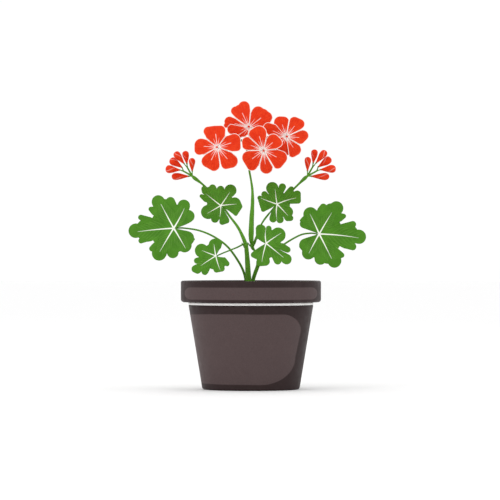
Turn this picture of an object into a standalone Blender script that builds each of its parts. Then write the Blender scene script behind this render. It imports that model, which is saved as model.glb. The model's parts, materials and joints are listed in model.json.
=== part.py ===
"""A red geranium (zonal pelargonium) growing in a round brown plastic pot.

The pot stands on the XY plane with its axis on Z, and the plant faces -Y. Every leaf and petal is a
thin shell: its outline is drawn facing -Y as a ring of rounded teeth round one centre, and a depth
formula then tilts and cups it. Lengths in this file are millimetres until they reach Blender.
"""

import math

import bmesh
import bpy
from mathutils import Vector
from mathutils.geometry import interpolate_bezier

MM = 0.001
GAP = 0.3  # clearance kept between touching pieces

# ---- the pot ----------------------------------------------------------------------------------
RIM_RADIUS = 75.0
POT_HEIGHT = 116.0
RIM_HEIGHT = 23.0
RIM_WALL = 3.6
RIM_CORNER = 3.2
NECK_HEIGHT = 3.0  # the groove between the rim and the body
NECK_DEPTH = 1.7
BODY_TOP_RADIUS = 66.8
BASE_RADIUS = 52.0
BASE_CORNER = 2.7
BASE_THICKNESS = 3.0
BODY_WALL = 3.0
DRAIN_HOLES = 6
DRAIN_RADIUS = 5.0
DRAIN_CIRCLE = 34.0
TURN_STEPS = 40

# ---- the potting mix --------------------------------------------------------------------------
SOIL_EDGE = 101.0
SOIL_MOUND = 104.0
ROOT_DEPTH = 22.0  # how far the woody stem goes into the mix
ROOT_RADIUS = 6.6

# ---- the leaves -------------------------------------------------------------------------------
LEAF_THICKNESS = 0.9
LEAF_SPOKES = 54
LEAF_RINGS = 3
BODY_INSET = 0.25  # how far the round of the blade keeps from that notch, in radians
SINUS_RADIUS = 4.4  # the blade's reach in the notch where its stalk comes in

# A lobe is a list of rounds (x, z, radius) from the leaf's centre, along its margin. notch is the way
# the notch for the stalk points, in degrees. slope is how far y grows for each millimetre along x
# and z, and body is the radius of the round of the blade.
LEAVES = {
    "big_left": {
        "centre": (-82.4, -8.0, 172.0), "slope": (-0.30, 0.40), "body": 25.2, "notch": 4,
        "lobes": [
            [(15.5, 12.8, 6.4)], [(10.6, 23.8, 6.5)],
            [(-1.2, 25.2, 3.8), (-3.7, 28.4, 4.8)], [(-9.8, 26.2, 4.8)], [(-16.8, 28.2, 6.9)],
            [(-20.5, 18.5, 4.5), (-24.6, 20.4, 2.4)],
            [(-27.0, 8.4, 3.8), (-35.2, 11.6, 2.8)], [(-27.9, -1.7, 12.4)], [(-40.6, -2.6, 7.6)],
            [(-34.6, -13.2, 2.8), (-26.8, -9.8, 3.8)],
            [(-23.0, -21.6, 2.8), (-19.5, -19.5, 4.0)], [(-15.2, -26.4, 7.7)],
            [(-0.8, -25.4, 6.1)], [(11.6, -17.9, 7.4)], [(14.4, -10.4, 7.1)],
        ],
    },
    "big_right": {
        "centre": (73.1, 6.0, 165.9), "slope": (0.30, 0.42), "body": 25.2, "notch": 179,
        "lobes": [
            [(-14.9, -11.4, 6.3)], [(-11.5, -19.9, 6.9)],
            [(1.2, -26.0, 6.4)], [(8.4, -26.0, 5.4)], [(16.0, -28.3, 7.3)],
            [(20.5, -22.0, 4.2), (24.2, -22.6, 2.4)],
            [(27.4, -10.6, 4.6), (35.6, -13.4, 3.9)], [(29.5, -1.1, 12.6)], [(42.6, -2.9, 7.5)],
            [(36.2, 10.4, 3.4), (27.5, 7.0, 4.4)],
            [(26.4, 19.2, 2.4), (22.0, 18.0, 4.4)], [(18.6, 27.6, 7.4)], [(12.4, 26.6, 6.0)],
            [(4.6, 28.6, 3.8), (1.8, 25.4, 3.5)],
            [(-9.2, 21.0, 7.5)], [(-15.4, 10.9, 5.0)],
        ],
    },
    "upper_left": {
        "centre": (-32.3, 12.0, 196.4), "slope": (-0.25, 0.45), "body": 14.6, "notch": -48,
        "lobes": [
            [(15.8, -8.8, 2.0), (20.2, -0.9, 2.6), (14.8, 2.4, 6.2)],
            [(10.2, 16.2, 6.3)], [(-0.3, 17.0, 4.0)],
            [(-8.8, 18.8, 3.8)], [(-12.7, 17.0, 3.0)], [(-18.0, 18.2, 2.7), (-17.6, 15.4, 2.8)],
            [(-20.6, 10.2, 2.0), (-15.5, 7.5, 3.6)],
            [(-13.5, -6.7, 7.4)], [(-6.2, -14.0, 4.0)], [(1.6, -17.2, 3.1), (6.4, -16.0, 2.6)],
        ],
    },
    "lower_left": {
        "centre": (-37.2, -42.0, 142.5), "slope": (-0.20, 0.55), "body": 14.0, "notch": 24,
        "lobes": [
            [(3.4, 13.6, 3.2), (-0.8, 11.4, 6.6)], [(-14.9, 5.6, 7.0)],
            [(-15.0, -4.6, 4.0), (-19.8, -5.0, 3.0)],
            [(-21.6, -13.6, 3.7), (-19.0, -14.9, 3.6)], [(-11.3, -16.2, 3.5)],
            [(0.9, -13.8, 3.3), (6.2, -12.9, 3.1)], [(11.6, -8.0, 2.6), (8.2, -4.4, 3.0)],
        ],
    },
    "upper_right": {
        "centre": (28.0, 16.0, 198.0), "slope": (0.25, 0.45), "body": 13.6, "notch": -135,
        "lobes": [
            [(-4.1, -15.4, 3.9)], [(3.2, -16.3, 3.8)], [(11.2, -14.7, 3.2), (14.2, -14.8, 3.0)],
            [(10.6, -8.3, 6.3)], [(22.6, 3.6, 2.8), (21.8, 11.0, 3.6), (15.0, 7.0, 5.0)],
            [(13.6, 10.0, 4.0), (15.4, 16.4, 2.6)], [(5.8, 18.4, 3.7)], [(-5.0, 17.2, 6.4)],
            [(-13.2, 10.4, 3.3)], [(-18.2, 6.6, 2.5), (-14.6, -5.6, 2.4)],
        ],
    },
    "lower_right": {
        "centre": (16.0, -38.0, 155.8), "slope": (0.15, 0.50), "body": 15.2, "notch": 179,
        "lobes": [
            [(-13.0, -11.9, 2.8), (-9.2, -12.6, 3.8)],
            [(-6.8, -20.2, 3.5), (-0.6, -18.8, 4.4)], [(12.2, -18.0, 3.9)], [(21.4, -16.6, 5.3)],
            [(22.6, -6.6, 3.0), (17.0, -3.6, 3.6)], [(12.7, 8.8, 7.7)], [(2.9, 15.5, 2.9)],
            [(-4.8, 15.0, 4.4), (-6.2, 15.2, 4.5), (-7.6, 8.6, 2.8)],
        ],
    },
}

# ---- the stems: each is a smooth line through (x, y, z) points with a thickness at each one -----
STEMS = {
    "main_stem": [((0, 0, SOIL_MOUND - ROOT_DEPTH), 10.4), ((0, 0, 96), 2 * ROOT_RADIUS),
                  ((0, 0, 105), 12.4), ((-1.6, -0.8, 110), 8.4), ((-2.6, -1.5, 117), 6.5),
                  ((-3.4, -2.0, 133), 5.5), ((-4.4, -3.0, 146), 4.7), ((-6.0, -3.4, 156), 4.2),
                  ((-13.2, 0.5, 172), 3.0), ((-22.8, 7.0, 185), 2.3),
                  ((-28.0, 11.5, 192.0), 1.8), ((-31.0, 14.6, 196.2), 1.4)],
    "right_stem": [((5.0, 5.4, 108.8), 4.0), ((2.5, 4.6, 116), 3.9), ((4.2, 4.2, 123), 4.1),
                   ((8.2, 4.0, 135), 4.2), ((6.8, 5.0, 143), 3.4), ((2.8, 6.0, 150), 2.4),
                   ((1.1, 6.2, 154), 3.0), ((0.3, 6.0, 161), 5.2), ((0.3, 6.0, 168), 5.7),
                   ((0.8, 5.5, 183), 5.0), ((1.7, 5.0, 199), 3.8), ((1.5, 4.5, 213), 2.7),
                   ((0, 4.5, 224), 2.2), ((-1.6, 6.0, 233), 2.2), ((-1.8, 8.0, 239), 3.4)],
    "petiole_big_left": [((-5.9, 4.4, 110.4), 2.6), ((-6.0, 3.0, 118), 2.7), ((-8.5, 1.2, 127), 2.6),
                         ((-14.0, 0, 137.5), 2.4), ((-24.7, -2.0, 152), 2.2),
                         ((-38.3, -3.5, 162.3), 2.0), ((-54.5, -4.5, 169.4), 1.9),
                         ((-71.3, -4.0, 172.2), 1.7), ((-80.2, -5.6, 172.1), 1.4)],
    "petiole_big_right": [((11.0, 4.6, 136.0), 2.4), ((18.0, 6.0, 140.0), 2.3),
                          ((28.0, 8.0, 148.2), 2.1), ((37.0, 9.0, 156.0), 2.0),
                          ((52.8, 9.5, 164.8), 1.9), ((64.0, 9.0, 166.8), 1.7),
                          ((70.8, 8.4, 166.0), 1.4)],
    "petiole_lower_left": [((-9.0, -5.0, 154.6), 1.8), ((-14.3, -9.0, 151.8), 1.7),
                           ((-21.4, -17.0, 148.9), 1.6), ((-29.5, -29.0, 145.6), 1.5),
                           ((-35.8, -39.2, 142.8), 1.4)],
    "petiole_upper_right": [((4.2, 8.0, 156.4), 2.0), ((6.6, 9.0, 164.3), 2.0),
                            ((11.2, 12.0, 176.4), 1.9), ((18.5, 15.0, 186.5), 1.7),
                            ((26.8, 18.4, 197.2), 1.4)],
    "petiole_lower_right": [((2.9, 3.5, 154.6), 1.9), ((5.4, -3.0, 160.2), 1.8),
                            ((8.6, -14.0, 161.2), 1.7), ((12.2, -26.0, 158.8), 1.6),
                            ((14.9, -35.2, 156.4), 1.4)],
}

# ---- the flower head --------------------------------------------------------------------------
PETAL_THICKNESS = 0.6
PETAL_SPOKES = 8
PETAL_RINGS = 3
CLAW_RADIUS = 2.2  # where a petal's narrow foot meets the floret's centre
THROAT_DEPTH = 2.4
PETAL_CURL = 0.006  # how fast a petal bends back, per millimetre squared
PETAL_TWIST = 0.08  # one side of each petal stands back, so that neighbours clear each other
CLAW_TAPER = 0.5  # how narrow a petal's foot is beside the rest of it
MAX_SPREAD = 0.34  # how far a petal widens towards its neighbours, in radians
PETAL_GAP = 0.03  # the angle left free beside it there

# Each petal is a list of (x, z, radius) rounds about its floret's centre.
FLORETS = {
    "left": {
        "centre": (-35.7, -14.0, 258.3),
        "slope": (-0.28, 0.05), "bow": (9, 8, 17),
        "petals": [
            [(-9.8, 17.2, 4.8), (-3.3, 17.2, 5.6), (3.3, 18.0, 4.9)],
            [(17.8, 7.6, 6.4), (20.7, -0.3, 3.7)],
            [(14.3, -14.7, 7.0), (9.0, -18.2, 4.7)],
            [(-10.6, -14.7, 6.1), (-3.7, -19.2, 5.6)],
            [(-17.6, 2.5, 6.7), (-19.2, -2.5, 5.1)],
        ],
    },
    "middle": {
        "centre": (13.3, -24.0, 254.8),
        "slope": (0.08, -0.16), "bow": (0, 0, -2),
        "petals": [
            [(-4.7, 18.2, 7.4), (-10.1, 17.4, 5.1)],
            [(-17.4, 8.8, 5.1), (-18.3, 5.1, 3.8)],
            [(-15.8, -7.6, 6.5), (-12.1, -15.4, 5.6)],
            [(3.0, -17.9, 6.4)],
            [(18.2, -7.6, 6.7), (14.9, -13.8, 5.3)],
            [(10.4, 10.8, 6.2), (14.9, 8.2, 4.7)],
        ],
    },
    "top": {
        "centre": (-2.2, 2.0, 279.9),
        "slope": (-0.04, 0.34), "bow": (1, 0, 0),
        "petals": [
            [(-5.2, 22.5, 5.9), (-9.3, 18.4, 6.4), (-14.2, 18.0, 4.7)],
            [(-20.8, 6.6, 5.0), (-23.6, 2.4, 2.9)],
            [(-17.4, -1.8, 5.2), (-11.5, -5.0, 6.0), (-6.2, -5.6, 4.0)],
            [(8.0, -13.5, 5.2)],
            [(18.6, 11.1, 6.1), (14.8, 13.8, 6.4), (10.0, 16.4, 6.4)],
        ],
    },
    "right": {
        "centre": (37.6, -7.0, 269.8),
        "slope": (0.30, 0.08), "bow": (0, 2, -1),
        "petals": [
            [(-6.6, 15.4, 6.1), (-2.5, 16.2, 5.1)],
            [(-19.2, 9.7, 4.7), (-13.0, 7.6, 5.0)],
            [(-9.5, -7.5, 4.2), (-2.9, -13.0, 3.4), (0.4, -16.4, 2.8)],
            [(6.7, -17.4, 4.2), (9.8, -13.7, 5.8)],
            [(15.1, -2.9, 4.5), (18.4, 1.5, 5.2)],
            [(14.3, 13.8, 5.1), (9.0, 15.8, 5.4)],
        ],
    },
}
NOTCHED = ("top",)  # the florets whose petals keep the notches between their rounds
HUB = Vector((-1.8, 9.0, 240.5))  # where the flower stalks leave the peduncle
HUB_CLEARANCE = 4.2
PEDICEL_WIDTH = 1.7
CALYX_WIDTH = 4.0
CALYX_LENGTH = 5.0

# The two florets that close the back of the head: centre, and the way they face in degrees from +Y.
BACK_FLORETS = {
    "back_floret_left": {"centre": (-34.0, 25.0, 259.0), "turn": 28, "bow": (7, 3, 17)},
    "back_floret_right": {"centre": (26.5, 27.0, 263.0), "turn": -24, "bow": (0, 0, -2)},
}
BACK_PETALS = 5
BACK_PETAL_REACH = 10.6
BACK_PETAL_ROUND = 5.7
BACK_SPOKES = 40

# ---- the two trusses of buds ------------------------------------------------------------------
# Left truss: foot (x, z), tip (x, z), width, and how far the foot and the tip stand towards +Y.
BUDS = [
    ((-63.1, 232.8), (-63.4, 247.6), 6.5, -2.5, -6.0),
    ((-68.8, 240.8), (-70.8, 255.4), 6.8, 1.0, 5.0),
    ((-71.4, 241.0), (-81.8, 254.0), 7.2, -3.0, -4.5),
    ((-73.6, 237.3), (-87.0, 246.6), 8.0, 2.0, 4.5),
    ((-75.8, 234.8), (-91.8, 235.9), 8.0, -1.5, -4.0),
    ((-66.0, 228.2), (-85.4, 228.0), 7.2, 2.5, 6.0),
]
BUD_SIDES = 8
BUD_RINGS = 7
BUD_STALK_WIDTH = 1.8
TRUSS_FORK = Vector((-63.2, 22.0, 228.4))
TRUSS_ARMS = (Vector((-68.2, 22.9, 237.2)), Vector((-72.6, 21.3, 233.6)))
MIRROR_PLANE = -1.15  # the right truss is the left one mirrored about this x
RIGHT_TRUSS_SCALE = 1.06  # and this much larger, from its fork

COLOURS = {
    "pot": ((0.076, 0.056, 0.055), 0.45),
    "trim": ((0.86, 0.84, 0.80), 0.5),
    "soil": ((0.030, 0.020, 0.014), 0.95),
    "stem": ((0.090, 0.260, 0.020), 0.5),
    "leaf": ((0.074, 0.238, 0.018), 0.55),
    "petal": ((0.80, 0.048, 0.010), 0.5),
}


def clear_scene():
    for obj in list(bpy.data.objects):
        bpy.data.objects.remove(obj)


def material(slot):
    """The Principled material of that slot, made once."""
    found = bpy.data.materials.get(slot)
    if found:
        return found
    colour, roughness = COLOURS[slot]
    made = bpy.data.materials.new(slot)
    made.use_nodes = True
    shader = made.node_tree.nodes["Principled BSDF"]
    shader.inputs["Base Color"].default_value = (*colour, 1)
    shader.inputs["Roughness"].default_value = roughness
    shader.inputs["Metallic"].default_value = 0
    return made


def link(name, data, slot, collection):
    obj = bpy.data.objects.new(name, data)
    collection.objects.link(obj)
    data.materials.append(material(slot))
    return obj


def mesh_from(name, bm):
    """A smooth-shaded mesh from a bmesh, which is then freed."""
    bmesh.ops.recalc_face_normals(bm, faces=bm.faces)
    mesh = bpy.data.meshes.new(name)
    bm.to_mesh(mesh)
    bm.free()
    mesh.shade_smooth()
    return mesh


# ---- turned pieces ----------------------------------------------------------------------------


def rounded(corners, segments=2):
    """A profile's (radius, z) points, with each corner (radius, z, fillet) rounded by an arc."""
    points = []
    count = len(corners)
    for i, (r, z, fillet) in enumerate(corners):
        here = Vector((r, z))
        if fillet == 0:
            points.append(here)
            continue
        before = Vector(corners[i - 1][:2]) - here
        after = Vector(corners[(i + 1) % count][:2]) - here
        half = before.angle(after) / 2
        start = here + before.normalized() * (fillet / math.tan(half))
        end = here + after.normalized() * (fillet / math.tan(half))
        middle = (before.normalized() + after.normalized()).normalized()
        centre = here + middle * (fillet / math.sin(half))
        for k in range(segments + 1):
            spoke = (start - centre).lerp(end - centre, k / segments).normalized()
            points.append(centre + spoke * fillet)
    return points


def turned(name, profile, slot, collection, closed=False):
    """A profile of (radius, z) points turned about Z, as a Screw modifier."""
    mesh = bpy.data.meshes.new(name)
    edges = [(i, i + 1) for i in range(len(profile) - 1)]
    if closed:
        edges.append((len(profile) - 1, 0))
    mesh.from_pydata([(p[0] * MM, 0, p[1] * MM) for p in profile], edges, [])
    obj = link(name, mesh, slot, collection)
    screw = obj.modifiers.new("turn", "SCREW")
    screw.steps = TURN_STEPS
    screw.render_steps = TURN_STEPS
    screw.use_merge_vertices = True
    screw.merge_threshold = 1e-6
    screw.use_smooth_shade = True
    return obj


def body_radius(z):
    """The pot's outer radius on its tapered body."""
    top = POT_HEIGHT - RIM_HEIGHT - NECK_HEIGHT
    return BASE_RADIUS + (BODY_TOP_RADIUS - BASE_RADIUS) * z / top


def inner_corners(inset):
    """The inside of the pot from the axis up to the rim's inner wall, set in by a gap."""
    floor = BASE_THICKNESS + inset
    shelf = POT_HEIGHT - RIM_HEIGHT + BODY_WALL
    neck = BODY_TOP_RADIUS - NECK_DEPTH - BODY_WALL - inset
    return [
        (0, floor, 0),
        (body_radius(floor) - BODY_WALL - inset, floor, 1.5),
        (neck, shelf - 12, 2.0),
        (neck, shelf + inset, 1.0),
        (RIM_RADIUS - RIM_WALL - inset, shelf + inset, 1.0),
    ]


def drain_cutter(index, collection):
    angle = math.tau * (index + 0.5) / DRAIN_HOLES
    bm = bmesh.new()
    bmesh.ops.create_cone(
        bm, cap_ends=True, segments=12, radius1=DRAIN_RADIUS * MM, radius2=DRAIN_RADIUS * MM,
        depth=4 * BASE_THICKNESS * MM,
    )
    cutter = bpy.data.objects.new(f"drain_cutter_{index}", mesh_from("drain", bm))
    cutter.location = (DRAIN_CIRCLE * MM * math.cos(angle), DRAIN_CIRCLE * MM * math.sin(angle), 0)
    cutter.hide_render = True
    cutter.display_type = "WIRE"
    collection.objects.link(cutter)


def build_pot(parts, cutters):
    rim_foot = POT_HEIGHT - RIM_HEIGHT
    neck_foot = rim_foot - NECK_HEIGHT
    neck_radius = BODY_TOP_RADIUS - NECK_DEPTH
    outer = [
        (RIM_RADIUS - RIM_WALL, POT_HEIGHT, 0.3),
        (RIM_RADIUS, POT_HEIGHT, RIM_CORNER),
        (RIM_RADIUS, rim_foot, RIM_CORNER),
        (neck_radius, rim_foot, 0),
        (neck_radius, neck_foot, 0),
        (BODY_TOP_RADIUS, neck_foot, 0.6),
        (BASE_RADIUS, 0, BASE_CORNER),
        (0, 0, 0),
    ]
    pot = turned("pot", rounded(inner_corners(0) + outer), "pot", parts)
    for i in range(DRAIN_HOLES):
        drain_cutter(i, cutters)
    cut = pot.modifiers.new("drain holes", "BOOLEAN")
    cut.operand_type = "COLLECTION"
    cut.collection = cutters
    ring = [
        (neck_radius + GAP, rim_foot - GAP, 0),
        (BODY_TOP_RADIUS, rim_foot - GAP, 0.7),
        (BODY_TOP_RADIUS, neck_foot + GAP, 0.7),
        (neck_radius + GAP, neck_foot + GAP, 0),
    ]
    turned("neck_ring", rounded(ring), "trim", parts, closed=True)


def build_soil(parts):
    wall = RIM_RADIUS - RIM_WALL - GAP
    hole = ROOT_RADIUS + GAP
    mound = [
        (wall, SOIL_EDGE, 0.8),
        (46, SOIL_EDGE + 1.0, 0),
        (24, SOIL_MOUND - 0.6, 0),
        (hole, SOIL_MOUND, 0),
        (hole, SOIL_MOUND - ROOT_DEPTH - GAP, 0),
        (0, SOIL_MOUND - ROOT_DEPTH - GAP, 0),
    ]
    profile = rounded(inner_corners(GAP) + mound)
    turned("potting_soil", profile[::-1], "soil", parts)


# ---- stems ------------------------------------------------------------------------------------


def smooth_line(stations, steps=3):
    """Points (position, width) on a smooth curve through the stations, which are (point, width)."""
    places = [Vector(p) for p, _ in stations]
    widths = [w for _, w in stations]
    last = len(places) - 1
    line = []
    for i in range(last):
        pull_in = (places[i + 1] - places[max(i - 1, 0)]) / 6
        pull_out = (places[min(i + 2, last)] - places[i]) / 6
        piece = interpolate_bezier(
            places[i], places[i] + pull_in, places[i + 1] - pull_out, places[i + 1], steps + 1
        )
        for k, point in enumerate(piece[:-1]):
            line.append((point, widths[i] + (widths[i + 1] - widths[i]) * k / steps))
    line.append((places[last], widths[last]))
    return line


def stem(name, stations, slot, collection, steps=2, sides=6):
    """A tapering round stem as a bevelled curve with filled caps."""
    curve = bpy.data.curves.new(name, "CURVE")
    curve.dimensions = "3D"
    curve.bevel_depth = MM
    curve.bevel_resolution = (sides - 4) // 2
    curve.use_fill_caps = True
    line = smooth_line(stations, steps)
    spline = curve.splines.new("POLY")
    spline.points.add(len(line) - 1)
    for point, (place, width) in zip(spline.points, line):
        point.co = (*(place * MM), 1)
        point.radius = width / 2
    spline.use_smooth = True
    return link(name, curve, slot, collection)


def as_mesh_object(obj, collection):
    """The evaluated object as a welded mesh object, which takes its place."""
    graph = bpy.context.evaluated_depsgraph_get()
    mesh = bpy.data.meshes.new_from_object(obj.evaluated_get(graph))
    bm = bmesh.new()
    bm.from_mesh(mesh)
    bmesh.ops.remove_doubles(bm, verts=bm.verts, dist=1e-6)
    bmesh.ops.recalc_face_normals(bm, faces=bm.faces)
    bm.to_mesh(mesh)
    bm.free()
    name = obj.name
    matrix = obj.matrix_world.copy()
    bpy.data.objects.remove(obj)
    made = bpy.data.objects.new(name, mesh)
    made.matrix_world = matrix
    collection.objects.link(made)
    return made


def join(target, pieces):
    """A Boolean union that makes target and a collection of hidden pieces one body."""
    union = target.modifiers.new("join", "BOOLEAN")
    union.operation = "UNION"
    union.operand_type = "COLLECTION"
    union.collection = pieces
    union.use_self = True
    for piece in pieces.objects:
        piece.hide_render = True
        piece.display_type = "WIRE"


def helper_collection(name):
    made = bpy.data.collections.new(name + "_joined")
    bpy.context.scene.collection.children.link(made)
    return made


# ---- leaves and petals ------------------------------------------------------------------------


def reach(angle, teeth):
    """How far a margin of rounded teeth lies from the centre along an angle, or 0 beside them."""
    far = 0.0
    for x, z, radius in teeth:
        distance = math.hypot(x, z)
        swing = distance * math.sin(angle - math.atan2(z, x))
        along = distance * math.cos(angle - math.atan2(z, x))
        if along > 0 and abs(swing) < radius:
            far = max(far, along + math.sqrt(radius**2 - swing**2))
    return far


def half_width(tooth):
    """Half the angle that a tooth takes up as seen from the centre."""
    x, z, radius = tooth
    return math.asin(radius / math.hypot(x, z))


def fill_between(a, b, count=3):
    """Rounds between two, so that the margin runs straight from one to the other."""
    return [tuple(p + (q - p) * k / (count + 1) for p, q in zip(a, b)) for k in range(1, count + 1)]


def leaf_teeth(lobes):
    """All the rounds of a leaf's lobes, with the margin straight from one to the next in a lobe."""
    teeth = []
    for lobe in lobes:
        teeth += lobe
        for a, b in zip(lobe, lobe[1:]):
            teeth += fill_between(a, b)
    return teeth


def leaf_sector(teeth, notch):
    """The angles (low, high) between which a leaf's blade lies, clear of the notch for its stalk."""
    middle = math.radians(notch + 180)
    apart = [(math.atan2(z, x) - middle + math.pi) % math.tau - math.pi for x, z, _ in teeth]
    halves = [half_width(tooth) for tooth in teeth]
    low = min(a - h for a, h in zip(apart, halves))
    return middle + low, middle + max(a + h for a, h in zip(apart, halves))


def span(teeth):
    """The angles (start, turn) that a petal's rounds cover, as seen from the floret's centre."""
    middle = sum((Vector((x, z)) for x, z, _ in teeth), Vector((0, 0)))
    base = math.atan2(middle.y, middle.x)
    sides = []
    for x, z, radius in teeth:
        turn = (math.atan2(z, x) - base + math.pi) % math.tau - math.pi
        half = half_width((x, z, radius))
        sides += [turn - half, turn + half]
    return base + min(sides), max(sides) - min(sides)


def shoulder(tooth, bound, side, half):
    """A round that fills a petal's side out to the angle bound, nearer the centre than its tooth."""
    distance = math.hypot(tooth[0], tooth[1])
    along = 0.62 * distance
    radius = min(0.34 * distance, along * math.tan(0.8 * half))
    turn = bound - side * math.atan2(radius, along)
    centre = math.hypot(along, radius)
    return centre * math.cos(turn), centre * math.sin(turn), radius


def full_petals(petals, gap, notched):
    """Each petal's rounds, filled in and widened towards its neighbours, and its (start, turn)."""
    spans = [span(teeth) for teeth in petals]
    shapes = []
    for (start, turn), teeth in zip(spans, petals):
        before = min((start - s - t + 0.3) % math.tau - 0.3 for s, t in spans if (s, t) != (start, turn))
        after = min((s - start - turn + 0.3) % math.tau - 0.3 for s, t in spans if (s, t) != (start, turn))
        low = start - max(0.0, min(before / 2 - gap, MAX_SPREAD))
        high = start + turn + max(0.0, min(after / 2 - gap, MAX_SPREAD))
        middle = start + turn / 2
        ordered = sorted(teeth, key=lambda t: (math.atan2(t[1], t[0]) - middle + math.pi) % math.tau)
        half = (high - low) / 2
        discs = list(ordered)
        if not notched:
            for a, b in zip(ordered, ordered[1:]):
                discs += fill_between(a, b)
        for tooth, bound, side in ((ordered[0], low, -1), (ordered[-1], high, 1)):
            corner = shoulder(tooth, bound, side, half)
            discs += [corner, *fill_between(corner, tooth)]
        shapes.append((discs, low, high - low))
    return shapes


def shell(name, spokes, rings, place, thickness, slot, collection):
    """A thin shell: a grid whose (across, along) places, each 0 to 1, are moved to place()."""
    bm = bmesh.new()
    bmesh.ops.create_grid(bm, x_segments=spokes, y_segments=rings, size=0.5)
    for vertex in bm.verts:
        vertex.co = Vector(place(vertex.co.x + 0.5, vertex.co.y + 0.5)) * MM
    bmesh.ops.remove_doubles(bm, verts=bm.verts, dist=1e-7)
    mesh = mesh_from(name, bm)
    obj = link(name, mesh, slot, collection)
    solid = obj.modifiers.new("thickness", "SOLIDIFY")
    solid.thickness = thickness * MM
    solid.offset = 0
    return obj


def build_leaf(name, leaf, parts):
    """A lobed blade, cut by the notch where the stalk comes in, tilted back and cupped."""
    cx, cy, cz = leaf["centre"]
    slope_x, slope_z = leaf["slope"]
    teeth = leaf_teeth(leaf["lobes"])
    low, high = leaf_sector(teeth, leaf["notch"])

    def place(across, along):
        angle = low + (high - low) * across
        edge = max(reach(angle, teeth), SINUS_RADIUS)
        if low + BODY_INSET < angle < high - BODY_INSET:
            edge = max(edge, leaf["body"])
        r = edge * along
        x = r * math.cos(angle)
        z = r * math.sin(angle)
        cup = -0.0030 * r * r
        wave = 0.035 * r * math.sin(5 * (angle - low))
        return cx + x, cy + slope_x * x + slope_z * z + cup + wave, cz + z

    shell("blade_" + name, LEAF_SPOKES, LEAF_RINGS, place, LEAF_THICKNESS, "leaf", parts)


def petal_depth(x, z, slope, twist):
    r = math.hypot(x, z)
    throat = THROAT_DEPTH * math.exp(-r / 4)
    return slope[0] * x + slope[1] * z + throat + PETAL_CURL * r * r + twist


def build_petal(name, floret, shape, parts):
    cx, cy, cz = floret["centre"]
    teeth, start, turn = shape

    def place(across, along):
        swing = math.sin((across - 0.5) * math.pi)  # points crowd where the outline turns back
        taper = CLAW_TAPER + (1 - CLAW_TAPER) * min(1.0, along / 0.25)
        angle = start + turn * (0.5 + 0.4995 * swing * taper)
        edge = reach(start + turn * (0.5 + 0.4995 * swing), teeth)
        r = CLAW_RADIUS + (edge - CLAW_RADIUS) * along
        x = r * math.cos(angle)
        z = r * math.sin(angle)
        twist = PETAL_TWIST * r * swing
        return cx + x, cy + petal_depth(x, z, floret["slope"], twist), cz + z

    shell(name, PETAL_SPOKES, PETAL_RINGS, place, PETAL_THICKNESS, "petal", parts)


def pedicel_stations(centre, facing, bow):
    """A flower's stalk, from the head's hub to the calyx behind a floret that faces that way."""
    back = centre - facing * (CALYX_LENGTH + THROAT_DEPTH + 1.2)
    start = HUB + (back - HUB).normalized() * HUB_CLEARANCE
    return [
        (start, PEDICEL_WIDTH),
        (start.lerp(back, 0.5) + Vector(bow), PEDICEL_WIDTH),
        (back, PEDICEL_WIDTH + 0.3),
        (back + facing * CALYX_LENGTH * 0.6, CALYX_WIDTH * 0.7),
        (back + facing * CALYX_LENGTH, CALYX_WIDTH),
    ]


def build_floret(name, floret, parts):
    centre = Vector(floret["centre"])
    slope_x, slope_z = floret["slope"]
    facing = Vector((slope_x, -1, slope_z)).normalized()
    shapes = full_petals(floret["petals"], PETAL_GAP, name in NOTCHED)
    for i, shape in enumerate(shapes, start=1):
        build_petal(f"petal_{name}_{i}", floret, shape, parts)
    stem("pedicel_" + name, pedicel_stations(centre, facing, floret["bow"]), "stem", parts)


def build_back_floret(name, spec, parts):
    """A whole floret facing away, its five petals joined at the throat and to its stalk."""
    centre = Vector(spec["centre"])
    turn = math.radians(spec["turn"])
    facing = Vector((-math.sin(turn), math.cos(turn), 0.25)).normalized()
    side = facing.cross(Vector((0, 0, 1))).normalized()
    up = side.cross(facing)
    teeth = []
    for i in range(BACK_PETALS):
        angle = math.tau * (i + 0.25) / BACK_PETALS
        reach_x = BACK_PETAL_REACH * math.cos(angle)
        reach_z = BACK_PETAL_REACH * math.sin(angle)
        teeth.append((reach_x, reach_z, BACK_PETAL_ROUND))

    def place(across, along):
        angle = math.tau * across
        r = max(reach(angle, teeth), CALYX_WIDTH) * along
        away = facing * -petal_depth(r, 0, (0, 0), 0)
        point = centre + side * (r * math.cos(angle)) + up * (r * math.sin(angle)) + away
        return point

    corolla = shell(name, BACK_SPOKES, 2, place, PETAL_THICKNESS, "petal", parts)
    stations = pedicel_stations(centre, facing, spec["bow"])
    stations[-1] = (centre - facing * (THROAT_DEPTH - 0.4), CALYX_WIDTH)
    helpers = helper_collection(name)
    as_mesh_object(stem(name + "_stalk", stations, "petal", helpers), helpers)
    join(corolla, helpers)


# ---- buds -------------------------------------------------------------------------------------


def bud_width(t):
    """A furled bud's width from its pointed foot, at 0, to its round tip, at 1."""
    return 1.62 * t * math.sqrt(max(0.0, 1 - t**4)) + 0.10 * (1 - t) ** 2


def build_bud(name, foot, tip, width, parts):
    bm = bmesh.new()
    bmesh.ops.create_uvsphere(bm, u_segments=BUD_SIDES, v_segments=BUD_RINGS, radius=1)
    for vertex in bm.verts:
        t = math.acos(max(-1.0, min(1.0, -vertex.co.z))) / math.pi
        flat = Vector((vertex.co.x, vertex.co.y, 0))
        if flat.length > 1e-6:
            flat = flat.normalized() * (bud_width(t) * width / 2)
        vertex.co = flat + Vector((0, 0, t * (tip - foot).length))
    turn = (tip - foot).to_track_quat("Z", "Y").to_matrix().to_4x4()
    bmesh.ops.transform(bm, matrix=turn, verts=bm.verts)
    bmesh.ops.translate(bm, vec=foot, verts=bm.verts)
    bmesh.ops.scale(bm, vec=(MM, MM, MM), verts=bm.verts)
    link(name, mesh_from(name, bm), "petal", parts)


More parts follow.
